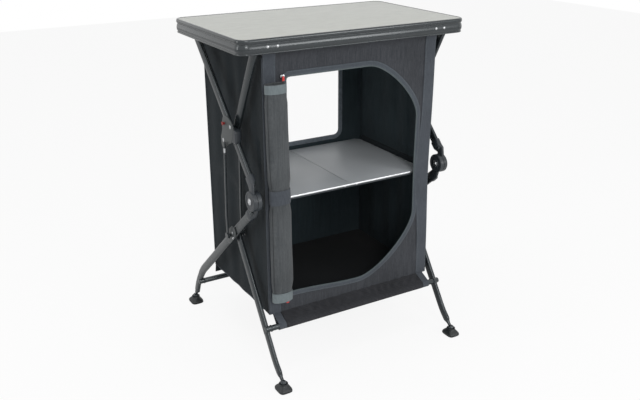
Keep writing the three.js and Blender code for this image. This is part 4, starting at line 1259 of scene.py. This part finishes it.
def zip_parts():
    centre, end = middle("zip_slider"), high("zip_slider")
    half = end - centre
    thick = half.y * 2
    place = lambda u, v, w: Vector((u, end.y - w, v))
    outline = shifted(superellipse(half.x, half.z, 3.0, 24), centre.x, centre.z)
    shell = slab(Shell(), outline, place, 0.0, thick * 0.55, 0.0008, 3)
    ridge = shifted(rounded_rectangle(0.0022, 0.0042, 0.002, 5), centre.x, centre.z)
    slab(shell, ridge, place, thick * 0.5, thick, 0.0007, 3)
    shell.soft("zip_slider_body", "bright", "zip_slider", 40, "slider")
    centre, end = middle("zip_pull"), high("zip_pull")
    half = end - centre
    outline = shifted([(u * (1 - 0.25 * smoothstep(-0.001, 0.006, v)), v)
                       for u, v in rounded_rectangle(half.x, half.z, 0.0024, 6)], centre.x, centre.z)
    slab(Shell(), outline, upright, low("zip_pull").y, end.y, 0.0006, 3).soft(
        "zip_pull_tag", "red", "zip_pull", 40, "pull")


# The shelf
LIP_PROFILE = tenths(  # reach forward of the trim's back, height in a trim 10 mm high
    (0, 50), (0, 92), (4, 98), (11, 96), (16, 89), (18, 79), (18, 58), (14, 51))
# The dark strip under the lip is painted shade on the lower half of the trim
SHADE_BAND_PROFILE = tenths((0, 2), (0, 52), (12, 52), (13, 8), (9, 2))
SHELF_CORNER = 0.014


def shelf():
    for side, label in SIDES:
        body, node = f"shelf_{label}_half", f"shelf_{label}"
        start, end = low(node), high(node)
        near, far = end.x if side < 0 else start.x, side * SHELF_REACH
        inset = far - side * SHELF_CORNER
        outline = [(near, start.y), (inset, start.y), (far, start.y + SHELF_CORNER), (far, end.y - SHELF_CORNER),
                   (inset, end.y), (near, end.y)]
        shell = slab(Shell(), outline, level, start.z, end.z, 0.0008, 2)
        shell.piece(f"shelf_board_{label}", "board", body, node, 30)
        node = f"shelf_trim_{label}"
        start, end = low(node), high(node)
        scale = (end.z - start.z) / 0.01
        trim = lambda profile, count: Shell().loft(
            [[Vector((x, end.y - depth, start.z + height * scale)) for depth, height in profile]
             for x in spread(start.x, end.x, count)])
        shell = trim(LIP_PROFILE, 8)
        for x in (near + side * 0.018, near + side * 0.215):
            dome(shell, (x, (start.z + end.z) / 2 + 0.0005, -start.y), 0.0021, 0.0006, forward, 14)
        shell.piece(f"shelf_edge_{label}", "lip", body, node, 30)
        # A dark band under the lip: painted shade on the trim's lower half
        trim(SHADE_BAND_PROFILE, 1).piece(f"shelf_shade_band_{label}", "dark", body, crease=30, slot="bright_metal")


def plain_nodes():
    """CAD nodes that stay, with a finished material."""
    for _, label in SIDES:
        for node, material in (("rear_clip_", "dark"), ("cross_pin_", "tube")):
            materials = frame["nodes"][node + label].data.materials
            materials.clear()
            materials.append(MATERIALS[material])


# Light and floor
WHITE = (1, 1, 1, 1)
SOFT_LIGHT, BACKGROUND = 0.50, 1.0
FLOOR_REACH, FLOOR_GLOW = 6.0, 0.88
LAMPS = (  # name, place, width, height, watts
    ("key", (-0.7, -2.8, 2.1), 0.9, 1.3, 25), ("fill", (1.45, -2.9, 1.2), 1.3, 0.8, 19),
    ("edge", (-2.6, 0.4, 1.3), 0.35, 1.5, 9), ("top", (-0.4, -0.2, 3.2), 2.0, 2.0, 13))


def studio():
    scene = bpy.context.scene
    scene.view_settings.view_transform = "Standard"
    world = bpy.data.worlds.new("studio")
    world.use_nodes = True
    scene.world = world
    tree = world.node_tree
    tree.nodes.clear()
    rays = add_node(tree, "LightPath").outputs
    seen = rays["Is Camera Ray"]
    for kind in ("Is Transmission Ray", "Is Glossy Ray"):
        seen = add_node(tree, "Math", (seen, rays[kind]), {"operation": "MAXIMUM"}).outputs[0]
    soft, white = (add_node(tree, "Background", (WHITE, strength)).outputs[0] for strength in (SOFT_LIGHT, BACKGROUND))
    add_node(tree, "OutputWorld", add_node(tree, "MixShader", (seen, soft, white)).outputs[:1])

    for name, at, wide, tall, watts in LAMPS:
        data = bpy.data.lights.new(name, "AREA")
        data.shape = "RECTANGLE"
        data.size, data.size_y, data.energy = wide, tall, watts
        lamp = bpy.data.objects.new(name, data)
        lamp.location = at
        lamp.rotation_euler = (Vector((0, 0, 0.5)) - Vector(at)).to_track_quat("-Z", "Y").to_euler()
        scene.collection.objects.link(lamp)

    mesh = bpy.data.meshes.new("studio_floor")
    corners = ((-1, -1), (1, -1), (1, 1), (-1, 1))
    mesh.from_pydata([(x * FLOOR_REACH, y * FLOOR_REACH, 0) for x, y in corners], [], [(0, 1, 2, 3)])
    ground = bpy.data.objects.new("studio_floor", mesh)
    scene.collection.objects.link(ground)
    paper = bpy.data.materials.new("studio_paper")
    paper.use_nodes = True
    tree = paper.node_tree
    tree.nodes.clear()
    seen = add_node(tree, "LightPath").outputs["Is Camera Ray"]
    share = add_node(tree, "Math", (seen, FLOOR_GLOW), {"operation": "MULTIPLY"}).outputs[0]
    diffuse = add_node(tree, "BsdfDiffuse", (WHITE,)).outputs[0]
    glow = add_node(tree, "Emission", (WHITE, BACKGROUND)).outputs[0]
    add_node(tree, "OutputMaterial", add_node(tree, "MixShader", (share, diffuse, glow)).outputs[:1])
    mesh.materials.append(paper)


for make in (add_camera, studio, worktop, front_brackets, legs, upper_tubes, bars, knuckles, hubs, cross_plates,
             struts, buttons, feet, front_cloth, door_binding, corner_webbings, hems, rear_cloth, side_cloths,
             floor_cloth, sling_cloth, roll_straps, door_roll, pull_tag, zip_parts, shelf, plain_nodes):
    make()
